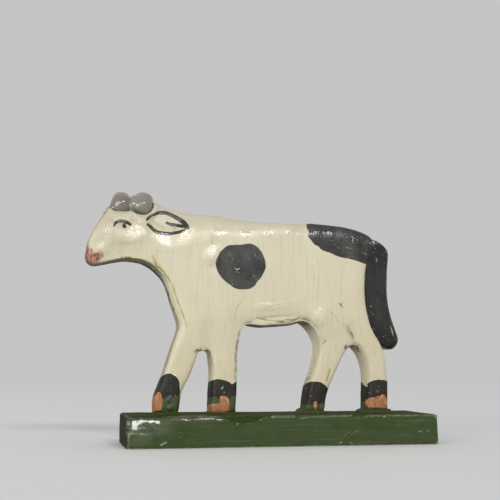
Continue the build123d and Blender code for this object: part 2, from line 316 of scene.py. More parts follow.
# Carved hollows and swellings of both sides, as (line of pixel x, pixel y and depth in mm, half width in mm)
HOLLOWS = [
    ([(300, 300, 0.0), (305, 312, 0.5), (311, 330, 0.8), (316, 350, 0.5), (318, 362, 0.0)], 3.0),
    ([(345, 322, 0.0), (350, 331, 0.8), (355, 344, 0.8), (360, 362, 0.5), (362, 376, 0.1)], 2.1),
    ([(207, 308, 0.0), (209, 330, 0.4), (210, 352, 0.5)], 3.0),
    ([(225, 318, 0.0), (241, 331, 0.4)], 2.6),
]
SWELLINGS = [
    ([(314, 313, 0.3), (321, 317, 1.2), (328, 325, 0.6), (331, 340, 0.1)], 3.6),
    ([(122, 241, 0.6), (132, 240, 1.1), (141, 241, 0.5)], 4.4),
    ([(157, 249, 0.2), (163, 248, 0.5), (186, 246, 0.4), (194, 246, 0.1)], 3.6),
    ([(206, 261, 0.1), (212, 256, 0.8), (217, 252, 0.2)], 2.6),
    ([(106, 249, 0.3), (111, 234, 0.5), (114, 222, 0.2)], 2.6),
    ([(182, 318, 0.2), (190, 344, 0.3)], 6.0),
    ([(366, 322, 0.1), (373, 352, 0.3)], 5.0),
    ([(254, 307, 0.1), (262, 307, 0.5), (276, 306.5, 0.4), (294, 305, 0.1)], 1.5),
] + [(drip, DRIP_HALF_WIDTH) for drip in PAINT_DRIPS]
# Long bevels cut along the outline, as (line in pixels, width in mm, depth in mm at the edge)
BEVELS = [
    ([(243, 325), (260, 323), (280, 322), (298, 321), (306, 326), (313, 346)], 5.5, 0.6),
    ([(146, 266), (152, 270), (158, 276), (164, 287), (170, 306), (177, 326), (170, 350)], 4.0, 0.35),
    ([(107, 207), (98, 222), (90, 236), (86, 250)], 4.0, 1.0),
]
# Edges that stand out further than the sawn outline, or less far where below zero,
# as (line of pixel x, pixel y and mm, half width in mm)
FULLER_EDGES = [
    ([(241, 334, -0.4), (244, 330, -1.0), (249, 326, -0.2), (256, 323, 1.3), (264, 322, 2.2), (274, 322, 2.4),
      (286, 321, 2.3), (294, 321, 1.6), (299, 323, 0.6), (304, 328, 0.0)], 3.2),
    ([(197, 353, -0.2), (199.2, 351, -0.8), (202.4, 351, 0.5), (204.6, 351.4, 0.4), (206.8, 353, -1.1),
      (208.6, 358, -0.2)], 1.4),
    ([(86, 260, 0.5), (96, 262, 1.1), (112, 260, 1.1), (125, 258, 1.2), (138, 260, 1.0),
      (150, 267, 0.3)], 4.0),
    ([(306, 328, -0.2), (310, 340, -0.7), (307, 366, -0.7), (301, 388, -0.5), (299, 408, -0.6)], 3.5),
    ([(239, 366, 0.0), (238, 384, -0.3), (238, 408, -0.4)], 3.0),
    ([(388, 372, -0.1), (389, 404, -0.3)], 3.0),
    ([(331, 385, 0.0), (327, 395, 0.6), (322.5, 405, 1.4), (320.5, 409, 1.6)], 3.0),
    ([(196, 213, 0.0), (208, 215.5, 0.5), (218, 217.5, 0.6), (228, 219, 0.1)], 3.0),
]
# Edges where paint and wood have flaked, as (line in pixels, reach in mm, depth in mm)
CHIPPED_EDGES = [
    ([(309, 358), (304, 374), (301, 386)], 2.2, 0.6),
    ([(196, 350), (202, 353), (208, 360), (207, 374)], 2.0, 0.55),
    ([(240, 330), (236, 352), (235, 378)], 0.9, 0.25),
    ([(170, 345), (163, 366), (157, 384)], 1.8, 0.35),
    ([(120, 259), (132, 260), (150, 269), (164, 288), (172, 312)], 1.6, 0.35),
    ([(346, 347), (356, 360), (360, 378)], 1.6, 0.4),
    ([(112, 200), (107, 207), (104, 212)], 1.6, 0.35),
]
# Lines in pixels: the flaked shin of a hind leg, the crease under the back and the stained throat
FLAKED_SHIN = [(311.5, 358), (308.5, 370), (305, 386)]
FLAKED_SHIN_WIDTH = 1.5
CREASE_LINE = [
    (84, 236), (100, 233), (112, 234), (126, 235), (138, 231), (150, 236), (163, 239.5), (176, 239),
    (188, 236), (205, 234), (240, 233.5), (300, 232.5), (340, 235), (365, 241), (400, 246),
]
THROAT_LINE = [(118, 260), (146, 264), (160, 278), (170, 304), (178, 328)]

# Marks on the board's front: two outlines in pixels, and strokes as (pixel x, pixel y, half width in mm)
BOARD_DENT = [
    (221, 413), (223, 417), (228, 420.5), (235, 423.2), (243, 424), (252, 423.4), (259, 421), (264, 416.6),
    (265, 413),
]
BOARD_SCRATCHES = [
    [(139, 434.5, 0.2), (142, 434, 0.35), (146, 434.5, 0.15)],
    [(159.6, 446, 0.1), (162.6, 444.2, 0.4), (166.4, 442.6, 0.25)],
    [(418.5, 431, 0.2), (421.5, 431.2, 0.3)],
    [(427, 431, 0.2), (429.5, 431.4, 0.25)],
    [(177.4, 436.2, 0.1), (180.6, 436.8, 0.26)],
    [(217.4, 443.6, 0.1), (220.6, 443.8, 0.2)],
    [(343.6, 436.4, 0.02), (350.4, 431.2, 0.1)],
    [(349, 437, 0.02), (356.4, 430.4, 0.1)],
    [(355, 433.6, 0.02), (361, 429.6, 0.08)],
    [(339, 443, 0.1), (342, 442.6, 0.2)],
    [(349.4, 442.6, 0.1), (353, 442.8, 0.18)],
]
BOARD_SMUDGE = [
    (132, 438), (136, 435), (144, 434), (151, 436), (153, 440), (148, 444), (138, 445), (133, 442),
]


# Viewpoint

turn = (Matrix.Rotation(math.radians(YAW), 3, "Z") @ Matrix.Rotation(math.radians(PITCH), 3, "X")
        @ Matrix.Rotation(math.radians(ROLL), 3, "Y"))
RIGHT, FORWARD, UP = (np.array(turn.col[axis]) for axis in range(3))
TO_FAR_SIDE = np.array((1.0, -1.0, 1.0))


def seen_at(points):
    """Where points appear in the photograph, in pixels, and how many mm a pixel covers there."""
    offset = points - EYE
    depth = offset @ FORWARD
    across = FOCAL_PIXELS * (offset @ RIGHT) / depth
    down = -FOCAL_PIXELS * (offset @ UP) / depth
    return np.column_stack([across, down]) + PICTURE_WIDTH / 2, depth / FOCAL_PIXELS


# Lines and distances

FAR_PIXELS = 24.0
TINY = 1e-9


def flowing(points, closed, steps=5):
    """A smooth line through given points, whatever numbers each point carries."""
    knots = np.asarray(points, float)
    if closed:
        knots = np.vstack([knots[-1:], knots, knots[:2]])
    else:
        knots = np.vstack([2 * knots[:1] - knots[1:2], knots, 2 * knots[-1:] - knots[-2:-1]])
    share = (np.arange(steps) / steps)[:, None]
    line = []
    for before, start, end, after in zip(knots, knots[1:], knots[2:], knots[3:]):
        line.append(0.5 * (2 * start + (end - before) * share
                           + (2 * before - 5 * start + 4 * end - after) * share ** 2
                           + (3 * start - before - 3 * end + after) * share ** 3))
    return np.vstack(line + [knots[-2:-1]])


def nearest_on(spots, line):
    """Distance from spots to a line, in pixels, and the number that the line carries at its nearest place."""
    gap = np.full(len(spots), FAR_PIXELS)
    carried = np.zeros(len(spots))
    corners = line[:, :2]
    close = np.all((spots > corners.min(0) - FAR_PIXELS) & (spots < corners.max(0) + FAR_PIXELS), axis=1)
    near = spots[close]
    best = np.full(len(near), FAR_PIXELS)
    value = np.zeros(len(near))
    for start, end in zip(line, line[1:]):
        along = end[:2] - start[:2]
        share = np.clip((near - start[:2]) @ along / max(along @ along, TINY), 0, 1)
        reach = np.linalg.norm(near - start[:2] - share[:, None] * along, axis=1)
        nearer = reach < best
        best[nearer] = reach[nearer]
        if line.shape[1] > 2:
            value[nearer] = (start[2] + share * (end[2] - start[2]))[nearer]
    gap[close] = best
    carried[close] = value
    return gap, carried


def within(spots, outline):
    """Which spots lie inside a closed outline."""
    crossings = np.zeros(len(spots), int)
    for start, end in zip(outline, outline[1:]):
        spans = (start[1] > spots[:, 1]) != (end[1] > spots[:, 1])
        height = np.where(end[1] == start[1], TINY, end[1] - start[1])
        cut = start[0] + (spots[:, 1] - start[1]) * (end[0] - start[0]) / height
        crossings += spans & (spots[:, 0] < cut)
    return crossings % 2 == 1


def ramp(values, low, high):
    """A smooth step from 0 at low to 1 at high."""
    share = np.clip((values - low) / (high - low), 0, 1)
    return share * share * (3 - 2 * share)


def soft_rise(values, softness):
    """Rises one for one above zero and stays at zero below, with a rounded bend between."""
    return (np.sqrt(values ** 2 + softness ** 2) + values) / 2


def unit(direction):
    """A direction with a length of one."""
    return np.asarray(direction, float) / np.linalg.norm(direction)


# Seeded noise

CELLS = 32
dice = np.random.default_rng(41)
LATTICE = dice.random((CELLS, CELLS, CELLS))
SCATTER = dice.random((CELLS, CELLS, CELLS, 3))


def waves(points, wave):
    """Smooth unevenness from -1 to 1, with wave lengths in mm along x, y and z."""
    place = points / np.asarray(wave, float)
    cell = np.floor(place).astype(int)
    share = place - cell
    share = share * share * (3 - 2 * share)
    total = np.zeros(len(points))
    for corner in np.ndindex(2, 2, 2):
        weight = np.prod(np.where(corner, share, 1 - share), axis=1)
        spot = (cell + corner) % CELLS
        total += weight * LATTICE[spot[:, 0], spot[:, 1], spot[:, 2]]
    return 2 * total - 1


def rough(points, coats):
    """Unevenness laid in coats of (height, wave lengths, shift)."""
    return sum(height * waves(points + shift, wave) for height, wave, shift in coats)


def gouge_marks(points, wave):
    """Shallow bowls that meet in ridges, as a gouge leaves them: 0 in a bowl, towards 1 on a ridge."""
    place = points / np.asarray(wave, float)
    cell = np.floor(place).astype(int)
    nearest = np.ones(len(points))
    for corner in np.ndindex(3, 3, 3):
        near = cell + np.array(corner) - 1
        spot = near % CELLS
        gap = near + SCATTER[spot[:, 0], spot[:, 1], spot[:, 2]] - place
        nearest = np.minimum(nearest, (gap ** 2).sum(1))
    return nearest


# Carving

def cad_mesh(node):
    """The plain mesh of a CAD node, which is only read."""
    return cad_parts[node].data


def nodes_named(start):
    """The CAD nodes whose names start alike, in order."""
    return sorted(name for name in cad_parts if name.startswith(start))


def stand_for(piece, node):
    """Fixes a piece to the figurine and lets it stand for its CAD node."""
    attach(piece, "root")
    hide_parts(node)


def drop_specks(mesh):
    """Deletes the specks that the fine division leaves apart from the piece in its narrow corners."""
    ends = np.empty(2 * len(mesh.edges), np.int32)
    mesh.edges.foreach_get("vertices", ends)
    first, second = ends.reshape(-1, 2).T
    shell = np.arange(len(mesh.vertices))
    while True:
        lowest = shell.copy()
        np.minimum.at(lowest, first, shell[second])
        np.minimum.at(lowest, second, shell[first])
        lowest = lowest[lowest]
        if (lowest == shell).all():
            break
        shell = lowest
    specks = np.flatnonzero(np.bincount(shell)[shell] < SPECK_POINTS)
    if len(specks):
        cleaned = bmesh.new()
        cleaned.from_mesh(mesh)
        cleaned.verts.ensure_lookup_table()
        bmesh.ops.delete(cleaned, geom=[cleaned.verts[point] for point in specks], context="VERTS")
        cleaned.to_mesh(mesh)
        cleaned.free()


def lump_of_paint(middle, reach):
    """A rounded lump of thick paint, with its middle and reach in mm."""
    lump = bmesh.new()
    bmesh.ops.create_uvsphere(lump, u_segments=32, v_segments=20, radius=1.0)
    place = Matrix.Scale(MM, 4) @ Matrix.Translation(Vector(middle)) @ Matrix.Diagonal((*reach, 1))
    bmesh.ops.transform(lump, matrix=place, verts=lump.verts)
    mesh = bpy.data.meshes.new("lump_of_paint")
    lump.to_mesh(mesh)
    lump.free()
    return mesh


class Carving:
    """A finely divided copy of a CAD node, joined with a lump of paint if it has one, as points in mm."""

    def __init__(self, name, node, fineness, lump=None):
        meshes = [cad_mesh(node)]
        if lump:
            meshes.append(lump_of_paint(*lump))
        joined = bpy.data.meshes.new(name)
        points = []
        faces = []
        for mesh in meshes:
            first = len(points)
            points += [vertex.co[:] for vertex in mesh.vertices]
            faces += [[first + corner for corner in face.vertices] for face in mesh.polygons]
        joined.from_pydata(points, [], faces)
        self.node = node
        self.piece = bpy.data.objects.new(name, joined)
        scene.collection.objects.link(self.piece)
        self.divide(name, fineness)
        for mesh in [joined] + meshes[1:]:
            bpy.data.meshes.remove(mesh)
        self.points = np.empty(3 * len(self.mesh.vertices), np.float32)
        self.mesh.vertices.foreach_get("co", self.points)
        self.points = self.points.reshape(-1, 3).astype(float) / MM
        ends = np.empty(2 * len(self.mesh.edges), np.int32)
        self.mesh.edges.foreach_get("vertices", ends)
        self.ends = ends.reshape(-1, 2)
        self.links = np.bincount(self.ends.ravel(), minlength=len(self.points))[:, None]

    def divide(self, name, fineness):
        """Gives the piece a fine and even mesh of its own."""
        fine = self.piece.modifiers.new("fine", "REMESH")
        fine.mode = "VOXEL"
        fine.voxel_size = fineness * MM
        bpy.context.view_layer.update()
        worked = self.piece.evaluated_get(bpy.context.evaluated_depsgraph_get())
        self.mesh = bpy.data.meshes.new_from_object(worked)
        self.mesh.name = name
        drop_specks(self.mesh)
        self.piece.modifiers.clear()
        self.piece.data = self.mesh

    def around(self, values):
        """The mean of each point's neighbours."""
        columns = []
        for column in values.T:
            total = np.bincount(self.ends[:, 0], column[self.ends[:, 1]], len(values))
            total += np.bincount(self.ends[:, 1], column[self.ends[:, 0]], len(values))
            columns.append(total)
        return np.stack(columns, axis=1) / self.links

    def soften(self, turns, share=1.0):
        """Rounds the surface, as sanding and whittling do: the share is 0 where it stays."""
        step = 0.5 * np.reshape(share, (-1, 1))
        for _ in range(turns):
            self.points += step * (self.around(self.points) - self.points)

    def store(self):
        """Writes the points back to the mesh."""
        self.mesh.vertices.foreach_set("co", (self.points * MM).astype(np.float32).ravel())
        self.mesh.update()

    def normals(self):
        """The outward direction at each point."""
        self.store()
        directions = np.empty(3 * len(self.points), np.float32)
        self.mesh.vertex_normals.foreach_get("vector", directions)
        return directions.reshape(-1, 3).astype(float)

    def stand_out(self, turns):
        """How far each point stands out of its surroundings, in mm: edges above zero, creases below."""
        smooth = self.points.copy()
        for _ in range(turns):
            smooth = self.around(smooth)
        return ((self.points - smooth) * self.normals()).sum(1)

    def note(self, name, values):
        """Keeps a number per point, which the paint reads by name."""
        layer = self.mesh.attributes.new(name, "FLOAT", "POINT")
        layer.data.foreach_set("value", np.asarray(values, np.float32))

    def finish(self, material, slot):
        """Paints the piece and puts it in its place."""
        self.store()
        self.mesh.materials.clear()
        self.mesh.materials.append(material)
        self.mesh.polygons.foreach_set("use_smooth", np.ones(len(self.mesh.polygons), bool))
        stand_for(self.piece, self.node)


class Sight:
    """Where points appear from the photograph's side, and from the far side as a hand repeats it."""

    def __init__(self, points, normals):
        self.near, self.pixel = seen_at(points)
        mirrored = points * TO_FAR_SIDE
        mirrored[:, 0] += rough(points, HAND_DRIFT_ALONG)
        mirrored[:, 2] += rough(points, HAND_DRIFT_UP)
        self.far, _ = seen_at(mirrored)
        towards = EYE - points
        glance = (normals * towards).sum(1) / np.linalg.norm(towards, axis=1)
        self.shown = ramp(glance, -0.12, 0.12)

    def from_both_sides(self, measure):
        """A measure taken from each side, used where that side shows."""
        return measure(self.near) * self.shown + measure(self.far) * (1 - self.shown)

    def patches(self, outlines):
        """Distance to the nearest rim of a set of painted patches, below zero inside them, in mm."""
        def measure(spots):
            nearest = np.full(len(spots), FAR_PIXELS)
            for pixels in outlines:
                outline = flowing(pixels, True)
                gap, _ = nearest_on(spots, outline)
                nearest = np.minimum(nearest, np.where(within(spots, outline), -gap, gap))
            return nearest * self.pixel
        return self.from_both_sides(measure)

    def strokes(self, lines):
        """Distance to the nearest rim of a set of brush strokes, in mm."""
        def measure(spots):
            nearest = np.full(len(spots), FAR_PIXELS)
            for stroke in lines:
                gap, half_width = nearest_on(spots, flowing(stroke, False))
                nearest = np.minimum(nearest, gap * self.pixel - half_width)
            return nearest
        return self.from_both_sides(measure)


class SideView:
    """Places on the cow's side, the same on the near side and the far side."""

    def __init__(self, points):
        folded = points.copy()
        folded[:, 1] = -np.abs(folded[:, 1])
        self.spots, self.pixel = seen_at(folded)

    def reach(self, pixels):
        """Distance to a line, in mm."""
        gap, _ = nearest_on(self.spots, flowing(pixels, False))
        return gap * self.pixel

    def furrow(self, pixels, half_width):
        """A smooth furrow along a line, as deep as the line's third numbers say."""
        gap, depth = nearest_on(self.spots, flowing(pixels, False))
        return depth * np.exp(-(gap * self.pixel / half_width) ** 2)


def whittled_in(view):
    """How far the sides lean in above the crease under the back, in mm."""
    crease = np.array(CREASE_LINE)
    along = np.column_stack([view.spots, np.zeros(len(view.spots))])
    level = np.interp(view.spots[:, 0], crease[:, 0], crease[:, 1]) + rough(along, CREASE_SWAY_PIXELS)
    return UPPER_SLOPE * soft_rise((level - view.spots[:, 1]) * view.pixel, CREASE_BEND)


def reshaped_sides(view, height):
    """How far the whittled sides lie inside the sawn plank's plain bevels, in mm."""
    plain = BACK_BEVEL[1] * soft_rise(height - BACK_BEVEL[0], PLAIN_BEND)
    upper = np.minimum(whittled_in(view), plain + UPPER_LIMIT) - plain
    lower = 0
    for (level, slope), inward in ((BELLY_TAPER, 1), (LEG_TAPER, -1)):
        whittled = soft_rise(level - height, WHITTLED_BEND)
        lower += inward * slope * (whittled - soft_rise(level - height, PLAIN_BEND))
    return upper + lower


class CowCarving(Carving):
    """Trunk, neck, head and legs, whittled step by step from the sawn plank."""

    def __init__(self):
        super().__init__("cow_carving", "cow_body", COW_FINENESS, HORN_SEAT)
        self.soften(3)
        self.seated = ramp(self.points[:, 2], BOARD_TOP, BOARD_TOP + FOOT_SEAT)
        self.legs = 1 - ramp(self.points[:, 2], *LEG_TOP)

    def round_plank(self):
        """Fills out the legs a little and rounds the long edges, those of the jaw less."""
        points = self.points
        normals = self.normals()
        ends = (1 - ramp(np.abs(normals[:, 1]), 0.3, 0.9)) * np.abs(normals[:, 0])
        points += normals * (LEG_FULLNESS * self.legs * ends * self.seated)[:, None]
        self.jaw = (1 - ramp(points[:, 0], *JAW_BACK)) * (1 - ramp(points[:, 2], *JAW_TOP))
        edges = ramp(self.stand_out(30), 0.05, 0.25) * ramp(np.abs(points[:, 1]), *LONG_EDGES)
        flats = ramp(np.abs(normals[:, 1]), 0.85, 0.97)
        share = np.maximum(edges, flats) * (1 - JAW_KEPT_SHARE * self.jaw)
        self.soften(60, np.maximum(share, LEAST_ROUND_SHARE))

    def fill_out_edges(self):
        """Moves the outline out or in where the knife left it so, and tilts the edge under the jaw."""
        points = self.points
        normals = self.normals()
        view = SideView(points)
        swell = sum(view.furrow(pixels, half_width) for pixels, half_width in FULLER_EDGES)
        swell *= 1 - ramp(np.abs(normals[:, 1]), 0.45, 0.95)
        points += normals * (swell * self.seated)[:, None]
        jaw_edge = (1 - ramp(points[:, 0], *JAW_EDGE_BACK)) * (1 - ramp(points[:, 2], *JAW_TOP))
        jaw_edge *= ramp(-normals[:, 2], 0.0, 0.6)
        points[:, 2] += JAW_TILT * jaw_edge * (points[:, 1] - PLANK_SIDE)

    def work_sides(self):
        """Hollows, swells and bevels the two sides alike."""
        self.outward = self.normals()
        self.start = self.points.copy()
        self.view = SideView(self.start)
        facing = np.abs(self.outward[:, 1])
        self.side = ramp(facing, 0.25, 0.7)
        self.rim = 1 - ramp(facing, 0.55, 0.97)
        inward = reshaped_sides(self.view, self.start[:, 2])
        for pixels, half_width in HOLLOWS:
            inward += self.view.furrow(pixels, half_width)
        for pixels, half_width in SWELLINGS:
            inward -= self.view.furrow(pixels, half_width)
        for pixels, width, depth in BEVELS:
            inward += depth * np.clip(1 - self.view.reach(pixels) / width, 0, 1) ** 1.5
        for middle in HORN_MIDDLES:
            spread = np.linalg.norm((self.start[:, [0, 2]] - middle) / HORN_REACH, axis=1)
            inward -= HORN_SEAT_FULLNESS * (1 - ramp(spread, 0.9, 1.45))
        self.points[:, 1] -= np.sign(self.start[:, 1]) * inward * self.side * self.seated

    def chip_edges(self):
        """Flakes the chipped edges off and notes how near they lie, in mm."""
        flaked = self.rim * ramp(rough(self.start, COW_FLAKES), 0.05, 0.5)
        chips = np.full(len(self.points), FAR_PIXELS)
        for pixels, width, depth in CHIPPED_EDGES:
            reach = self.view.reach(pixels)
            self.points -= self.outward * (depth * (1 - ramp(reach, 0.4 * width, width)) * flaked)[:, None]
            chips = np.minimum(chips, reach - width)
        self.note("chip_rim", chips)

    def leave_tool_marks(self):
        """Leaves the wood uneven, with gouge and knife marks on the edges and raised grain on the sides."""
        uneven = rough(self.start, COW_COATS)
        gouged = COW_GOUGE_DEPTH * (gouge_marks(self.start, COW_GOUGE) - 0.5)
        uneven += gouged * (0.25 + 0.75 * self.rim)
        uneven += rough(self.start, COW_GRAIN) * (1 + self.legs) * self.side
        uneven += rough(self.start, COW_KNIFE_MARKS) * self.rim
        self.points += self.outward * (uneven * self.seated)[:, None]

    def turn_flats(self):
        """Cuts the small flats that the knife left, turned so that the enamel on them catches a lamp."""
        points = self.points
        normals = self.normals()
        view = SideView(points)
        outside = self.side * (np.abs(points[:, 1]) > PLANK_SIDE / 2)
        for pixels in GLINTING_FLATS:
            gap, half_width = nearest_on(view.spots, flowing(pixels, False))
            reach = gap * view.pixel - half_width
            middle_part = (reach < FLAT_MIDDLE) & (outside > 0.5) & (points[:, 1] < 0)
            middle = points[middle_part].mean(0)
            facing = unit(normals[middle_part].mean(0))
            halfway = [unit(unit(EYE - middle) + unit(direction)) for direction, _ in KEY_LAMPS.values()]
            goal = max(halfway, key=lambda direction: direction @ facing)
            slopes = goal[[0, 2]] / -goal[1]
            flat = middle[1] + (points[:, [0, 2]] - middle[[0, 2]]) @ slopes
            shift = FLAT_DEPTH * np.tanh((flat + np.abs(points[:, 1])) / FLAT_DEPTH)
            shift *= FLAT_SHARE * (1 - ramp(reach, *FLAT_RUN_OUT)) * outside
            points[:, 1] -= np.sign(points[:, 1]) * shift

    def lay_paint(self):
        """Cuts the painted grooves, thickens the black and notes how far patches and strokes lie, in mm."""
        sight = Sight(self.points, self.outward)
        cracks = sight.strokes(DARK_CRACKS)
        throat = sight.strokes(THROAT_STROKES)
        groove = CRACK_DEPTH * (1 - ramp(cracks, -0.1, 0.45)) + THROAT_DEPTH * (1 - ramp(throat, -0.1, 0.5))
        self.points -= self.outward * (groove * self.seated)[:, None]
        black = sight.patches([FLANK_SPOT, RUMP_SADDLE] + SOCKS)
        black = np.minimum(black, sight.strokes(INK_LINES) - INK_SPREAD)
        self.points += self.outward * (BLACK_THICKNESS * (1 - ramp(black, -0.25, 0.1)))[:, None]
        self.note("black_rim", black)
        self.note("crack_rim", cracks)
        self.note("throat_rim", throat)
        self.note("hoof_rim", sight.patches(HOOVES))
        self.note("green_rim", sight.patches(GREEN_LAPS))
        self.note("horn_rim", sight.patches([HORN_GREY]))
        self.note("muzzle_rim", sight.patches([MUZZLE_WEAR]))
        self.note("nick_and_highlight_rim", sight.strokes(PALE_NICKS_AND_HIGHLIGHTS))
        self.note("gloss_rim", sight.strokes(GLOSSY_STROKES))
        self.note("shin_rim", self.view.reach(FLAKED_SHIN) - FLAKED_SHIN_WIDTH)
        self.note("throat_reach", self.view.reach(THROAT_LINE))

    def note_shade_and_wear(self):
        """Notes where painted shade and painted light go: underneath, on the rims and on the far front edge,
        and how far each point stands out.
        """
        points = self.points
        normals = self.normals()
        below = ramp(-normals[:, 2], 0.35 - 0.1 * self.jaw, 0.9 - 0.3 * self.jaw)
        self.note("under", below * ramp(points[:, 2], *UNDERSIDE))
        self.note("rim", 1 - ramp(np.abs(normals[:, 1]), 0.3, 0.75))
        chest = ramp(points[:, 2], *CHEST)
        middle = (1 - chest) * LEG_SHADE_MIDDLE + chest * CHEST_SHADE_MIDDLE
        outer = ramp(points[:, 1] - middle, chest, 2.6 - 0.3 * chest)
        ahead_or_down = ramp(np.maximum(-normals[:, 0], -normals[:, 2]), 0.25, 0.6)
        foremost = (1 - ramp(points[:, 0], *FOREMOST)) * (0.6 + 0.4 * chest)
        self.note("far_rim", outer * ahead_or_down * foremost)
        self.note("edge", self.stand_out(14))


def carve_cow():
    """The cow, whittled and painted."""
    cow = CowCarving()
    cow.round_plank()
    cow.fill_out_edges()
    cow.work_sides()
    cow.chip_edges()
    cow.leave_tool_marks()
    cow.turn_flats()
    cow.lay_paint()
    cow.note_shade_and_wear()
    cow.finish(cow_paint(), "cream_paint")


def carve_tail():
    """The tail, a smooth roll painted black that grows out of the rump."""
    tail = Carving("tail_roll", "tail", TAIL_FINENESS)
    tail.soften(8)
    points = tail.points
    root = ramp(points[:, 2], *TAIL_ROOT)
    points[:, 0] -= TAIL_ROOT_REACH * root * ramp(-tail.normals()[:, 0], 0.1, 0.5)
    rump = PLANK_SIDE + TAIL_OVER_RUMP - whittled_in(SideView(points))
    wider = np.sign(points[:, 1]) * np.minimum(np.abs(points[:, 1]) * TAIL_ROOT_SPREAD, rump)
    points[:, 1] += root * (wider - points[:, 1])
    normals = tail.normals()
    top = ramp(normals[:, 2], 0.0, 0.6) * (1 + 0.7 * ramp(normals[:, 0], 0.1, 0.7))
    points[:, 2] -= TAIL_TOP_DROP * ramp(points[:, 2], *TAIL_TOP) * top
    tail.soften(4)
    normals = tail.normals()
    uneven = rough(points, TAIL_COATS) + TAIL_GOUGE_DEPTH * gouge_marks(points, TAIL_GOUGE)
    uneven += TAIL_BACK_FULLNESS * ramp(normals[:, 0], 0.0, 0.6) * (1 - root)
    points += normals * uneven[:, None]
    tail.note("nick_and_highlight_rim", Sight(points, normals).strokes(PALE_NICKS_AND_HIGHLIGHTS))
    tail.note("edge", tail.stand_out(14))
    tail.finish(tail_paint(), "black_paint")


def carve_horns():
    """The two horn knobs, lumpy under thick paint and run together."""
    for node, middle, lump in zip(HORN_LEANS, HORN_MIDDLES, (HORN_SKIRT, HORN_BRIDGE)):
        knob = Carving(node + "_knob", node, HORN_FINENESS, lump)
        knob.soften(3)
        points = knob.points
        offset = (points[:, [0, 2]] - middle) / HORN_REACH
        squared = (np.abs(offset) ** HORN_SQUARENESS).sum(1) ** (1 / HORN_SQUARENESS)
        grow = np.linalg.norm(offset, axis=1) / np.maximum(squared, TINY)
        upper = ramp(points[:, 2], *HORN_FOOT)
        points[:, [0, 2]] += upper[:, None] * (grow - 1)[:, None] * offset * HORN_REACH
        waist = 1 - ramp(points[:, 2] - middle[1], *HORN_WAIST)
        points[:, 1] *= 1 - (HORN_SIDES_SHARE + HORN_WAIST_SHARE * waist) * upper
        across, rise = ((points[:, [0, 2]] - middle) / HORN_REACH).T
        for side, lean, start in HORN_LEANS[node]:
            points[:, 0] -= lean * side * np.maximum(side * across, 0) * ramp(rise, start, 1)
        points[:, 2] += HORN_TOP_RISE * ramp(points[:, 2] - middle[1], *HORN_TOP)
        knob.soften(4)
        points += knob.normals() * (rough(points, HORN_COATS) * upper)[:, None]
        knob.note("edge", knob.stand_out(12))
        knob.finish(horn_paint(node == "front_horn"), "horn_paint")


def carve_board():
    """The green board, with worn edges, a dent in its front top edge and a rubbed left corner."""
    board = Carving("green_board", "base_board", BOARD_FINENESS)
    board.soften(3)
    points = board.points
    normals = board.normals()
    start = points.copy()
    along, ahead, height = start[:, 0], -start[:, 1], start[:, 2]
    free = 1 - ramp(-normals[:, 2], 0.5, 0.95)
    points += normals * (rough(start, BOARD_COATS) * free)[:, None]
    worn = ramp(rough(start, BOARD_WEAR), -0.1, 0.7) * ramp(board.stand_out(10), 0.05, 0.2)
    points -= normals * (BOARD_WEAR_DEPTH * worn * free)[:, None]

    sight = Sight(start, normals)
    front = ramp(ahead, *BOARD_FRONT)
    dent = sight.patches([BOARD_DENT])
    scoop = (1 - ramp(dent, -1.3, 0.3)) * front
    points[:, 1] += DENT_DEPTH * scoop
    points[:, 2] -= DENT_DROP * scoop * (height > BOARD_TOP / 2)
    left_end = 1 - ramp(along + rough(start, RUBBED_END_DRIFT), *RUBBED_END)
    top_edge = (1 - ramp(along + rough(start, RUBBED_EDGE_DRIFT), *RUBBED_EDGE)) * (1 - left_end)
    end_rub = soft_rise(height - RUBBED_END_LEVEL - rough(start, RUBBED_END_SWAY), RUBBED_END_BEND)
    edge_rub = soft_rise(height - RUBBED_EDGE_LEVEL - rough(start, RUBBED_EDGE_SWAY), RUBBED_EDGE_BEND)
    rubbed = RUB_SLOPE * (left_end * end_rub + top_edge * edge_rub)
    points[:, 1] += rubbed * ramp(ahead, *BOARD_RUB_FRONT)
    points[:, 1] += left_end * front * rough(start, RUBBED_END_COATS)

    away = FAR_PIXELS * (1 - front)
    gloss = np.maximum(left_end * ramp(height, *GLOSSY_END), top_edge * ramp(height, *GLOSSY_EDGE))
    board.note("top", ramp(normals[:, 2], 0.5, 0.9))
    board.note("end", ramp(-normals[:, 0], 0.5, 0.9))
    board.note("gloss", gloss * front)
    board.note("dent_rim", dent + away)
    board.note("scratch_rim", sight.strokes(BOARD_SCRATCHES) + away)
    board.note("smudge_rim", sight.patches([BOARD_SMUDGE]) + away)
    board.note("edge", board.stand_out(10))
    board.finish(board_paint(True), "green_paint")


def carve_beads():
    """The green skirts round the feet, those of the front feet flatter, smaller and browner."""
    paint = board_paint(False)
    for node in nodes_named("foot_bead"):
        bead = Carving(node.replace("foot_bead", "foot_skirt"), node, SKIRT_FINENESS)
        bead.soften(6)
        points = bead.points
        seated = ramp(points[:, 2], BOARD_TOP, BOARD_TOP + SKIRT_SEAT)
        points += bead.normals() * (rough(points, SKIRT_COATS) * seated)[:, None]
        brown = HIND_SKIRT_BROWN
        if node == "foot_bead_leading_hind":
            furthest = points[:, 0].max()
            points[:, 0] += SKIRT_TONGUE * ramp(points[:, 0], furthest - SKIRT_TONGUE_LENGTH, furthest)
        if not node.endswith("_hind"):
            brown = FRONT_SKIRT_BROWN
            points[:, 2] -= FRONT_SKIRT_FLATTENED_SHARE * np.maximum(points[:, 2] - BOARD_TOP, 0)
            points[:, :2] -= FRONT_SKIRT_SHRUNK_SHARE * (points[:, :2] - points[:, :2].mean(0))
        bead.note("top", np.full(len(points), brown))
        bead.note("edge", bead.stand_out(8))
        bead.finish(paint, "filler")


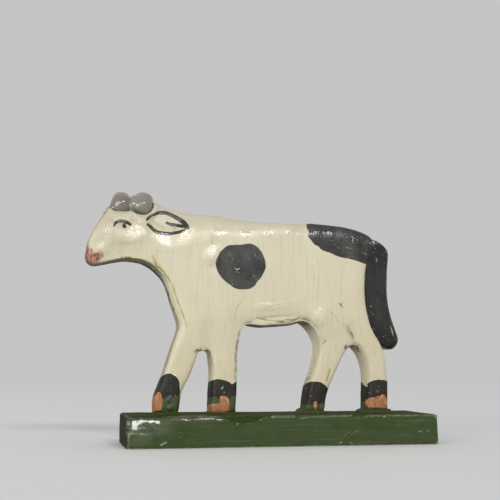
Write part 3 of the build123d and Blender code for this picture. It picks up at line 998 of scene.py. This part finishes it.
def turned(name, middle, section, tip):
    """A round piece turned from a half section of (radius, height) and closed by a tip, in mm."""
    turns = [2 * math.pi * side / NAIL_SIDES for side in range(NAIL_SIDES)]
    lathe = bmesh.new()
    rings = []
    for radius, height in section:
        places = [(middle[0] + radius * math.cos(turn), middle[1] + radius * math.sin(turn), height)
                  for turn in turns]
        rings.append([lathe.verts.new(Vector(place) * MM) for place in places])
    point = lathe.verts.new(Vector((middle[0], middle[1], tip)) * MM)
    for side in range(NAIL_SIDES):
        after = (side + 1) % NAIL_SIDES
        for lower, upper in zip(rings, rings[1:]):
            lathe.faces.new((lower[side], lower[after], upper[after], upper[side]))
        lathe.faces.new((rings[-1][side], rings[-1][after], point))
    lathe.faces.new(rings[0][::-1])
    mesh = bpy.data.meshes.new(name)
    lathe.to_mesh(mesh)
    lathe.free()
    return mesh


def turn_nails():
    """The four wire nails, turned from their half section."""
    steel = nail_steel()
    for node in nodes_named("foot_nail"):
        low, high = (np.array(corner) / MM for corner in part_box(node))
        head = (high[0] - low[0]) / 2
        head_top = low[2] + NAIL_HEAD_THICKNESS
        section = [(head, low[2]), (head, head_top), (NAIL_RADIUS, head_top),
                   (NAIL_RADIUS, high[2] - NAIL_POINT)]
        name = node.replace("foot_nail", "wire_nail")
        mesh = turned(name, (low + high) / 2, section, high[2])
        mesh.materials.append(steel)
        piece = bpy.data.objects.new(name, mesh)
        scene.collection.objects.link(piece)
        stand_for(piece, node)


# Paint

def sum_of(operation, swapped=False):
    """A method that puts a wire and a value or another wire together, in that order or swapped."""
    def put_together(wire, other):
        first, second = (other, wire) if swapped else (wire, other)
        return wire.recipe.node("ShaderNodeMath", {"operation": operation}, {0: first, 1: second})
    return put_together


class Wire:
    """A shader socket that takes part in sums."""

    def __init__(self, recipe, socket):
        self.recipe = recipe
        self.socket = socket

    __add__ = sum_of("ADD")
    __sub__ = sum_of("SUBTRACT")
    __mul__ = sum_of("MULTIPLY")
    __truediv__ = sum_of("DIVIDE")
    __radd__ = sum_of("ADD", True)
    __rsub__ = sum_of("SUBTRACT", True)
    __rmul__ = sum_of("MULTIPLY", True)

    def held(self):
        """The value kept between 0 and 1."""
        return self.recipe.node("ShaderNodeClamp", {}, {"Value": self})

    def apart(self, middle):
        """How far the value lies from a middle one."""
        return self.recipe.node("ShaderNodeMath", {"operation": "ABSOLUTE"}, {0: self - middle})

    def rise(self, low, high):
        """A smooth step from 0 at low to 1 at high."""
        return self.recipe.node("ShaderNodeMapRange", {"interpolation_type": "SMOOTHSTEP"},
                                {"Value": self, "From Min": low, "From Max": high})


class Recipe:
    """A tree of shader nodes."""

    def __init__(self, tree):
        self.tree = tree

    def node(self, kind, settings, sockets, output=0):
        """Adds a node, sets it up, feeds its sockets and gives back one of its outputs, if it has any."""
        made = self.tree.nodes.new(kind)
        for key, value in settings.items():
            setattr(made, key, value)
        for key, value in sockets.items():
            self.feed(made.inputs[key], value)
        return Wire(self, made.outputs[output]) if len(made.outputs) else None

    def feed(self, socket, value):
        """Links a wire to a socket, or sets the socket's own value."""
        if isinstance(value, Wire):
            self.tree.links.new(value.socket, socket)
        else:
            socket.default_value = (*value, 1) if socket.type == "RGBA" and len(value) == 3 else value


class Paint(Recipe):
    """A finish built from nodes, with places given in mm."""

    def __init__(self, name):
        self.material = bpy.data.materials.new(name)
        self.material.use_nodes = True
        super().__init__(self.material.node_tree)
        self.shader = self.tree.nodes["Principled BSDF"]
        self.set({"Specular IOR Level": PLAIN_SHINE})
        local = self.node("ShaderNodeTexCoord", {}, {}, "Object")
        sockets = {"Vector": local, "Scale": 1 / MM}
        self.place = self.node("ShaderNodeVectorMath", {"operation": "SCALE"}, sockets)

    def set(self, values):
        """Feeds sockets of the finish by name."""
        for name, value in values.items():
            self.feed(self.shader.inputs[name], value)

    def mark(self, name):
        """A number kept on the piece's points."""
        return self.node("ShaderNodeAttribute", {"attribute_name": name}, {}, "Fac")

    def in_waves(self, wave, seed):
        """Places counted in wave lengths, which are in mm, and set apart by a seed."""
        scale = tuple(1 / length for length in wave)
        return self.node("ShaderNodeVectorMath", {"operation": "MULTIPLY_ADD"},
                         {0: self.place, 1: scale, 2: (seed, seed, seed)})

    def noise(self, wave, detail, roughness, seed):
        """Unevenness from 0 to 1 with the given wave lengths in mm."""
        sockets = {"Vector": self.in_waves(wave, seed), "Scale": 1.0}
        sockets.update({"Detail": detail, "Roughness": roughness})
        return self.node("ShaderNodeTexNoise", {}, sockets, "Fac")

    def specks(self, wave, seed):
        """Distance to the nearest of many scattered points, in shares of the wave length."""
        sockets = {"Vector": self.in_waves(wave, seed), "Scale": 1.0}
        return self.node("ShaderNodeTexVoronoi", {}, sockets, "Distance")

    def along(self, axis):
        """How far a point lies along an axis of the figurine, in mm."""
        return self.node("ShaderNodeSeparateXYZ", {}, {"Vector": self.place}, axis)

    def layers(self, colour, *coats):
        """A colour with coats of (colour, share) laid over it in turn."""
        for over, share in coats:
            colour = self.node("ShaderNodeMix", {"data_type": "RGBA"}, {0: share, 6: colour, 7: over}, 2)
        return colour

    def cover(self, rim, wobble, soft):
        """Where a patch of paint lies, from the distance to its rim and the hand's wobble, in mm."""
        return (0.5 - (self.mark(rim) + wobble) / soft).held()

    def finish(self, colour, roughness, height):
        """Joins colour, roughness and relief in mm to the shader."""
        relief = self.node("ShaderNodeBump", {}, {"Strength": 1.0, "Distance": MM, "Height": height})
        self.set({"Base Color": colour, "Roughness": roughness, "Normal": relief})
        return self.material


# Colours, as light reflected
CREAM = (0.655, 0.600, 0.440)
CREAM_PALE = (0.700, 0.655, 0.505)
CREAM_LOW = (0.615, 0.540, 0.360)
CREAM_GRAIN = (0.400, 0.335, 0.205)
# Grime in cracks and flakes, and painted shade in creases
CREAM_GRIME_AND_SHADE = (0.250, 0.190, 0.105)
THROAT_GREEN = (0.340, 0.310, 0.085)
THROAT_TINT = (0.690, 0.645, 0.390)
THROAT_DARK = (0.150, 0.125, 0.040)
BLACK = (0.022, 0.023, 0.022)
BLACK_GREY = (0.066, 0.068, 0.065)
# Painted shade: a deeper black for the low parts
BLACK_LOW_SHADE = (0.011, 0.009, 0.003)
BARE_WOOD = (0.175, 0.125, 0.070)
# Painted shade for the undersides and the far front edges
PAINTED_SHADE_BROWN = (0.060, 0.042, 0.022)
# Painted shade for the upper band and the head
CREAM_PAINTED_SHADE = (0.525, 0.478, 0.352)
# Painted light: a paler cream for the rims
RIM_PAINTED_LIGHT = (0.740, 0.660, 0.450)
HOOF_ORANGE = (0.420, 0.185, 0.070)
HOOF_DARK = (0.250, 0.090, 0.032)
HOOF_PALE = (0.620, 0.390, 0.220)
MUZZLE_PINK = (0.380, 0.160, 0.105)
MUZZLE_RED = (0.160, 0.050, 0.030)
HORN_GREY_PAINT = (0.215, 0.202, 0.165)
HORN_DIM = (0.165, 0.152, 0.122)
HORN_BROWN = (0.175, 0.142, 0.108)
HORN_OLIVE = (0.185, 0.185, 0.140)
GREEN = (0.044, 0.067, 0.022)
GREEN_PALE = (0.105, 0.140, 0.065)
# A deeper green, also used as painted shade in creases and in the dent
GREEN_DEEP_AND_SHADE = (0.024, 0.040, 0.013)
GREEN_SMUDGE = (0.150, 0.190, 0.105)
# Painted shade for the board's front end
END_PAINTED_SHADE = (0.027, 0.017, 0.005)
TOP_BROWN = (0.060, 0.056, 0.018)
GREEN_RUB = (0.470, 0.475, 0.370)
BOARD_WOOD = (0.360, 0.250, 0.140)
BOARD_WOOD_DARK = (0.220, 0.140, 0.070)
STEEL = (0.420, 0.400, 0.380)
RUST = (0.160, 0.075, 0.035)
# Shine of the enamels
PLAIN_SHINE = 0.45
TAIL_SHINE = 0.22
BOARD_SHINE = 0.05
COAT_IOR = 1.65
HORN_COAT_ROUGHNESS = 0.06
BOARD_COAT_ROUGHNESS = 0.12


def black_enamel(paint, bloom_share):
    """Black paint, darker low down as painted shade, with a grey bloom, dust, pale scratch marks and small
    pale specks, some of them painted highlights.
    """
    high = paint.along("Z")
    bloom = paint.noise((5.0, 5.0, 9.0), 4, 0.6, 3).rise(0.28, 0.68)
    bloom = bloom * bloom_share * (1 - 0.6 * high.rise(76, 84))
    dust = 1 - paint.specks((0.8, 0.8, 0.8), 27).rise(0.1, 0.26)
    dust = dust * paint.noise((6, 6, 5), 2, 0.5, 29).rise(0.46, 0.6)
    # Small pale specks, partly chips in the paint and partly painted glints
    nicks_and_glints = 1 - paint.specks((1.7, 1.7, 1.6), 7).rise(0.05, 0.13)
    nicks_and_glints = nicks_and_glints * paint.noise((5, 5, 4), 2, 0.5, 21).rise(0.5, 0.6)
    # Pale marks along the listed strokes, partly scratches and partly painted highlights
    scratches_and_highlights = 1 - paint.mark("nick_and_highlight_rim").rise(-0.05, 0.12)
    scratches_and_highlights = scratches_and_highlights * paint.noise((0.5, 0.5, 0.5), 2, 0.6, 23).rise(0.36, 0.5)
    upper = paint.layers(BLACK, (BLACK_GREY, bloom))
    # Black darker low down: painted shade
    return paint.layers(BLACK_LOW_SHADE, (upper, high.rise(30, 54)), (CREAM_PALE, dust * 0.22),
                        (CREAM_PALE, (nicks_and_glints * 0.7 + scratches_and_highlights * 0.75).held()))


def brushed_cream(paint, cloud, hairlines):
    """Cream enamel brushed up and down the grain, darker low down; painted shade in creases, on the upper
    band and on the head, painted light on the rims.
    """
    high = paint.along("Z")
    streaks = paint.noise((1.1, 1.1, 26), 3, 0.6, 1)
    fine = paint.noise((0.8, 0.8, 34), 2, 0.55, 4).rise(0.5, 0.68)
    low = (1 - high.rise(18, 60)) * 0.6
    return paint.layers(
        CREAM,
        (CREAM_PALE, cloud.rise(0.4, 0.75) * 0.55),
        (CREAM_LOW, (low + (0.5 - cloud) * 0.5 + (streaks - 0.5) * 0.9).held()),
        (CREAM_GRAIN, fine * 0.16),
        (CREAM_GRAIN, hairlines * (0.22 + 0.18 * (1 - high.rise(30, 70)))),
        # Painted shade in the creases
        (CREAM_GRIME_AND_SHADE, (1 - paint.mark("edge").rise(-0.16, -0.03)) * 0.5),
        # Painted light: paler cream on the rims
        (RIM_PAINTED_LIGHT, paint.mark("rim") * 0.7 * (1 - high.rise(70, 78))),
        # Painted shade on the upper band and on the head
        (CREAM_PAINTED_SHADE, high.rise(80, 93) * 0.9),
        (CREAM_PAINTED_SHADE, (1 - paint.along("X").rise(-69, -58)) * 0.6),
    )


def worn_cream(paint, cream, ragged, crack, chipped):
    """The cream with its stained throat, painted shade on the undersides and far front edges, cracks, chips
    and rubbed muzzle.
    """
    throat_rim = paint.mark("throat_rim")
    under = paint.mark("under")
    tint = 1 - paint.mark("throat_reach").rise(1.0, 6.5)
    tint = tint * paint.noise((2, 2, 8), 3, 0.6, 31).rise(0.25, 0.7)
    stain = (1 - throat_rim.rise(-0.1, 0.35)) * paint.noise((1.2, 1.2, 3), 2, 0.5, 33).rise(0.28, 0.5)
    core = (1 - throat_rim.rise(-0.2, 0.04)) * paint.noise((0.9, 0.9, 2), 2, 0.5, 35).rise(0.42, 0.56)
    # Painted shade on the far front edges
    far_rim_shade = paint.mark("far_rim") * paint.noise((2.4, 2.4, 3.0), 3, 0.6, 43).rise(0.24, 0.44)
    # Dark flecks on the flaked shin, partly flaked paint and partly painted shadow of the flakes
    flaked = (1 - paint.mark("shin_rim").rise(-0.6, 0.4)) * paint.mark("rim").rise(0.2, 0.6)
    flaked = flaked * paint.noise((1.0, 2.4, 1.5), 3, 0.7, 45).rise(0.45, 0.52)
    muzzle = paint.cover("muzzle_rim", ragged, 1.4) * (1 - 0.85 * under)
    pink = muzzle * paint.noise((0.8, 0.8, 1.4), 3, 0.65, 53).rise(0.27, 0.46)
    red = muzzle * paint.noise((0.6, 0.6, 1.6), 3, 0.6, 51).rise(0.44, 0.54)
    return paint.layers(
        cream,
        (THROAT_TINT, tint * 0.7),
        (THROAT_GREEN, stain * 0.9),
        (THROAT_DARK, core * 0.7),
        # Painted shade underneath and on the far front edges
        (PAINTED_SHADE_BROWN, under * 0.82),
        (PAINTED_SHADE_BROWN, far_rim_shade * 0.92),
        (CREAM_GRIME_AND_SHADE, crack * 0.9),
        (BARE_WOOD, chipped * 0.9),
        (CREAM_GRIME_AND_SHADE, flaked * 0.85),
        (MUZZLE_PINK, pink * 0.95),
        (MUZZLE_RED, red * 0.95),
    )


def hoof_orange(paint):
    """Orange hooves, mottled dark and rubbed pale towards the top."""
    mottled = paint.noise((1.6, 1.6, 1.2), 3, 0.6, 61).rise(0.45, 0.7)
    lines = paint.noise((0.55, 0.55, 2.2), 2, 0.6, 65).rise(0.54, 0.64)
    pale = paint.noise((1.3, 1.3, 1.6), 2, 0.5, 63).rise(0.50, 0.7)
    pale = pale * (0.3 + 0.7 * paint.along("Z").rise(13.5, 16.5))
    return paint.layers(HOOF_ORANGE, (HOOF_DARK, mottled * 0.8), (HOOF_DARK, lines * 0.6),
                        (HOOF_PALE, pale * 0.8))


def cow_paint():
    """Cream enamel with black patches and socks, orange hooves and a rubbed muzzle."""
    paint = Paint("cow_paint")
    wobble = (paint.noise((1.8, 1.8, 1.8), 2, 0.6, 11) - 0.5) * 0.45
    ragged = (paint.noise((1.0, 1.0, 1.0), 3, 0.7, 15) - 0.5) * 1.1
    black = paint.cover("black_rim", wobble, 0.2)
    hoof = paint.cover("hoof_rim", ragged, 0.25)
    green = paint.cover("green_rim", ragged, 0.3)
    horn = paint.cover("horn_rim", wobble, 0.25)
    crack = 1 - paint.mark("crack_rim").rise(-0.05, 0.16)
    chipped = (1 - paint.mark("chip_rim").rise(-1.1, 0.0)) * paint.mark("edge").rise(0.03, 0.14)
    chipped = chipped * paint.noise((1.4, 1.8, 1.8), 3, 0.65, 41).rise(0.44, 0.56)
    cloud = paint.noise((14, 14, 20), 3, 0.55, 5)
    hairlines = 1 - paint.noise((2.6, 2.6, 70), 2, 0.5, 2).apart(0.5).rise(0.0, 0.022)
    hairlines = hairlines * paint.noise((3, 3, 9), 2, 0.5, 9).rise(0.40, 0.62)

    cream = worn_cream(paint, brushed_cream(paint, cloud, hairlines), ragged, crack, chipped)
    grey = paint.layers(HORN_GREY_PAINT, (HORN_OLIVE, paint.noise((3, 3, 3), 2, 0.5, 73).rise(0.35, 0.7)))
    lapped = paint.noise((2.2, 2.2, 2.2), 3, 0.6, 71).rise(0.45, 0.75)
    board_green = paint.layers(GREEN, (GREEN_PALE, lapped * 0.35))
    colour = paint.layers(cream, (grey, horn), (black_enamel(paint, 1.0), black), (hoof_orange(paint), hoof),
                          (board_green, green))

    brushed = paint.noise((0.5, 0.5, 11), 3, 0.6, 81)
    peel = paint.noise((0.9, 0.9, 1.2), 2, 0.6, 83)
    hammered = paint.noise((1.3, 1.3, 1.4), 2, 0.6, 87)
    gloss = 1 - (paint.mark("gloss_rim") + ragged).rise(-0.4, 0.9)
    relief = (0.04 * brushed + 0.07 * peel) * (1 - 0.8 * gloss) + 0.12 * gloss * hammered
    relief = relief - 0.03 * hairlines - 0.08 * crack + 0.05 * black + 0.04 * horn
    socks = black * (1 - paint.along("Z").rise(28, 34)) * (1 - gloss)
    roughness = 0.30 + 0.07 * cloud - 0.19 * gloss + 0.1 * chipped + 0.2 * paint.mark("rim") + 0.2 * socks
    roughness = roughness + 0.5 * paint.mark("under")
    return paint.finish(colour, roughness.held(), relief)


def tail_paint():
    """Glossy black enamel, brushed along the tail."""
    paint = Paint("tail_paint")
    paint.set({"Specular IOR Level": TAIL_SHINE})
    brushed = paint.noise((0.5, 0.5, 12), 3, 0.6, 81)
    peel = paint.noise((0.9, 0.9, 1.4), 3, 0.6, 83)
    rubbed = paint.mark("edge").rise(0.10, 0.3) * paint.noise((0.8, 0.8, 2), 2, 0.6, 85).rise(0.62, 0.7)
    colour = paint.layers(black_enamel(paint, 0.3), (CREAM_PALE, rubbed * 0.8))
    roughness = 0.18 + 0.14 * paint.noise((3, 3, 7), 2, 0.5, 87)
    return paint.finish(colour, roughness, 0.04 * brushed + 0.07 * peel)


def horn_paint(front):
    """Grey enamel laid on thick and rubbed pale on top, on the front knob browner and rubbed more."""
    paint = Paint("front_horn_paint" if front else "rear_horn_paint")
    tone = paint.noise((3.0, 3.0, 3.0), 3, 0.6, 91).rise(0.35, 0.7)
    rub = paint.noise((1.2, 1.6, 1.2), 3, 0.65, 93).rise(0.42 if front else 0.56, 0.62 if front else 0.68)
    rub = paint.along("Z").rise(97.2, 100.2) * rub
    colour = paint.layers(HORN_DIM if front else HORN_GREY_PAINT, (HORN_BROWN if front else HORN_OLIVE, tone),
                          (HOOF_PALE if front else CREAM, rub * 0.75))
    paint.set({"Coat Weight": 1.0, "Coat Roughness": HORN_COAT_ROUGHNESS, "Coat IOR": COAT_IOR})
    return paint.finish(colour, 0.10 + 0.10 * tone, 0.2 * paint.noise((1.7, 1.7, 1.7), 3, 0.6, 95))


def worn_board(paint, colour, roughness, coat):
    """The board's rubbed edges, dent and marks and its bare underside, with painted shade in the dent and on
    the front end.
    """
    high = paint.along("Z")
    dent_rim = paint.mark("dent_rim")
    end = paint.mark("end")
    ragged = (paint.noise((0.9, 0.9, 0.6), 3, 0.7, 19) - 0.5) * 0.9
    rub = paint.mark("edge").rise(0.17, 0.36) * paint.noise((2.0, 1.4, 0.9), 4, 0.72, 9).rise(0.36, 0.60)
    rub = rub * dent_rim.rise(0.4, 1.6) * 0.95
    chipped = dent_rim.rise(-0.5, -0.1) * (1 - dent_rim.rise(0.0, 0.5)) * (1 - high.rise(10.6, 11.2))
    chipped = chipped * paint.noise((1.1, 1.1, 0.9), 2, 0.6, 13).rise(0.54, 0.6)
    rub = (rub + chipped + paint.cover("scratch_rim", ragged, 0.2) * 0.6).held()
    grain = paint.noise((30, 1.1, 2), 4, 0.6, 15).rise(0.35, 0.7)
    bare = (1 - high.rise(0.02, 0.25)) * paint.noise((8, 4, 4), 3, 0.6, 17).rise(0.36, 0.5)
    colour = paint.layers(
        colour,
        # Painted shade inside the dent
        (GREEN_DEEP_AND_SHADE, (1 - dent_rim.rise(-1.0, 0.0)) * 0.7),
        (GREEN_SMUDGE, paint.cover("smudge_rim", ragged, 1.6) * 0.22),
        (GREEN_RUB, rub * 0.7),
        (paint.layers(BOARD_WOOD, (BOARD_WOOD_DARK, grain)), bare),
        # Painted shade on the front end
        (END_PAINTED_SHADE, end * 0.85),
    )
    gloss = paint.mark("gloss") * paint.noise((2.6, 2.6, 1.6), 3, 0.6, 21).rise(0.33, 0.46)
    coat = (coat * (1 - end) + gloss) * (1 - bare) * (1 - rub) * dent_rim.rise(0.2, 1.6)
    roughness = roughness + 0.3 * bare + 0.15 * rub + 0.3 * end + 0.3 * (1 - dent_rim.rise(0.0, 0.8))
    return colour, roughness, coat


def board_paint(worn):
    """Dark green enamel with brushed streaks and painted shade in its creases, worn on the board and plain on
    the skirts.
    """
    paint = Paint("board_paint" if worn else "skirt_paint")
    streaks = paint.noise((16, 5, 0.8), 4, 0.62, 1)
    cloud = paint.noise((9, 7, 4), 3, 0.6, 3)
    # Painted shade in the creases
    crease_shade = 1 - paint.mark("edge").rise(-0.2, -0.04)
    scratch = paint.noise((5, 5, 0.45), 3, 0.7, 5).rise(0.66, 0.72)
    scratch = scratch * paint.noise((7, 7, 6), 2, 0.5, 7).rise(0.5, 0.66)
    top = paint.mark("top")
    colour = paint.layers(
        GREEN,
        (GREEN_PALE, streaks.rise(0.5, 0.8) * 0.55),
        (GREEN_DEEP_AND_SHADE, cloud.rise(0.48, 0.75) * 0.55),
        (GREEN_DEEP_AND_SHADE, crease_shade * 0.6),
        (GREEN_RUB, scratch * 0.45),
        (TOP_BROWN, top * 0.6),
    )
    roughness = 0.30 + 0.2 * cloud + 0.4 * top
    coat = (0.35 if worn else 0.1) * (1 - top) * cloud.rise(0.3, 0.6)
    if worn:
        colour, roughness, coat = worn_board(paint, colour, roughness, coat)
    paint.set({"Specular IOR Level": BOARD_SHINE, "Coat Weight": coat.held(),
               "Coat Roughness": BOARD_COAT_ROUGHNESS, "Coat IOR": COAT_IOR})
    return paint.finish(colour, roughness, 0.08 * streaks + 0.07 * paint.noise((1.3, 1.3, 1.0), 3, 0.6, 11))


def nail_steel():
    """Plain wire nails, dulled and spotted with rust."""
    paint = Paint("nail_steel")
    rust = paint.noise((0.9, 0.9, 0.9), 3, 0.6, 1).rise(0.48, 0.66)
    drawn = paint.noise((0.3, 0.3, 6), 2, 0.5, 3)
    paint.set({"Metallic": 1 - 0.85 * rust})
    return paint.finish(paint.layers(STEEL, (RUST, rust)), 0.34 + 0.4 * rust, 0.02 * drawn + 0.03 * rust)


# Stage, in metres

KEY_LAMPS = {
    "right_key_lamp": ((0.22, -0.80, 0.54), 0.60),
    "middle_key_lamp": ((0.03, -0.80, 0.58), 0.34),
    "left_key_lamp": ((-0.35, -0.86, 0.36), 0.24),
}
KEY_ANGLE = 10.0
KEY_COLOUR = (1.0, 0.975, 0.93)
LAMP_TARGET = (-0.01, 0.0, 0.055)
LAMP_DISTANCE = 1.5
FILL_DIRECTION = (-0.80, -0.58, 0.08)
FILL_SIZE = 1.2
FILL_POWER = 11.0
SKY = (0.97, 0.985, 1.0)
SKY_STRENGTH = 0.51
FLOOR_PALE = (0.80, 0.80, 0.80)
FLOOR_SHADE = (0.78, 0.78, 0.785)
FLOOR_ROUGHNESS = 0.85
BACKDROP = (0.556, 0.556, 0.556)
FLOOR_REACH = 12.0
NEAREST_SEEN = 0.01


def lamp(name, kind, direction):
    """A lamp that looks at the cow from a direction."""
    light = bpy.data.lights.new(name, kind)
    holder = bpy.data.objects.new(name, light)
    towards = Vector(direction).normalized()
    holder.location = Vector(LAMP_TARGET) + LAMP_DISTANCE * towards
    holder.rotation_euler = towards.to_track_quat("Z", "Y").to_euler()
    scene.collection.objects.link(holder)
    return light


def pale_floor():
    """A wide pale floor under the board."""
    mesh = bpy.data.meshes.new("floor")
    corners = [(-1, -1, 0), (1, -1, 0), (1, 1, 0), (-1, 1, 0)]
    mesh.from_pydata([(FLOOR_REACH * x, FLOOR_REACH * y, z) for x, y, z in corners], [], [(0, 1, 2, 3)])
    floor = bpy.data.objects.new("floor", mesh)
    scene.collection.objects.link(floor)
    pale = Paint("pale_floor")
    soft = pale.noise((60, 60, 60), 2, 0.5, 1)
    pale.set({"Base Color": pale.layers(FLOOR_PALE, (FLOOR_SHADE, soft)), "Roughness": FLOOR_ROUGHNESS})
    mesh.materials.append(pale.material)


def studio_light():
    """Three key lamps, a soft lamp, and a bright sky that shows as a plain backdrop."""
    world = bpy.data.worlds.new("studio")
    scene.world = world
    world.use_nodes = True
    world.node_tree.nodes.clear()
    sky = Recipe(world.node_tree)
    rays = [sky.node("ShaderNodeLightPath", {}, {}, kind)
            for kind in ("Is Camera Ray", "Is Glossy Ray", "Is Transmission Ray")]
    light = sky.node("ShaderNodeBackground", {}, {"Color": SKY, "Strength": SKY_STRENGTH})
    backdrop = sky.node("ShaderNodeBackground", {}, {"Color": BACKDROP, "Strength": 1.0})
    shown = sky.node("ShaderNodeMixShader", {}, {0: rays[0] + rays[1] + rays[2], 1: light, 2: backdrop})
    sky.node("ShaderNodeOutputWorld", {}, {"Surface": shown})
    for name, (direction, strength) in KEY_LAMPS.items():
        key = lamp(name, "SUN", direction)
        key.energy = strength
        key.angle = math.radians(KEY_ANGLE)
        key.color = KEY_COLOUR
    fill = lamp("soft_lamp", "AREA", FILL_DIRECTION)
    fill.shape = "DISK"
    fill.size = FILL_SIZE
    fill.energy = FILL_POWER


def photo_camera():
    """The photograph's viewpoint."""
    lens = bpy.data.cameras.new("photo_camera")
    lens.sensor_width = SENSOR
    lens.sensor_fit = "HORIZONTAL"
    lens.lens = SENSOR * FOCAL_PIXELS / PICTURE_WIDTH
    lens.clip_start = NEAREST_SEEN
    camera = bpy.data.objects.new("photo_camera", lens)
    facing = Matrix((RIGHT, UP, -FORWARD)).transposed().to_4x4()
    camera.matrix_world = Matrix.Translation(Vector(EYE * MM)) @ facing
    scene.collection.objects.link(camera)
    scene.camera = camera
    scene.view_settings.view_transform = "Standard"


carve_cow()
carve_tail()
carve_horns()
carve_board()
carve_beads()
turn_nails()
pale_floor()
studio_light()
photo_camera()
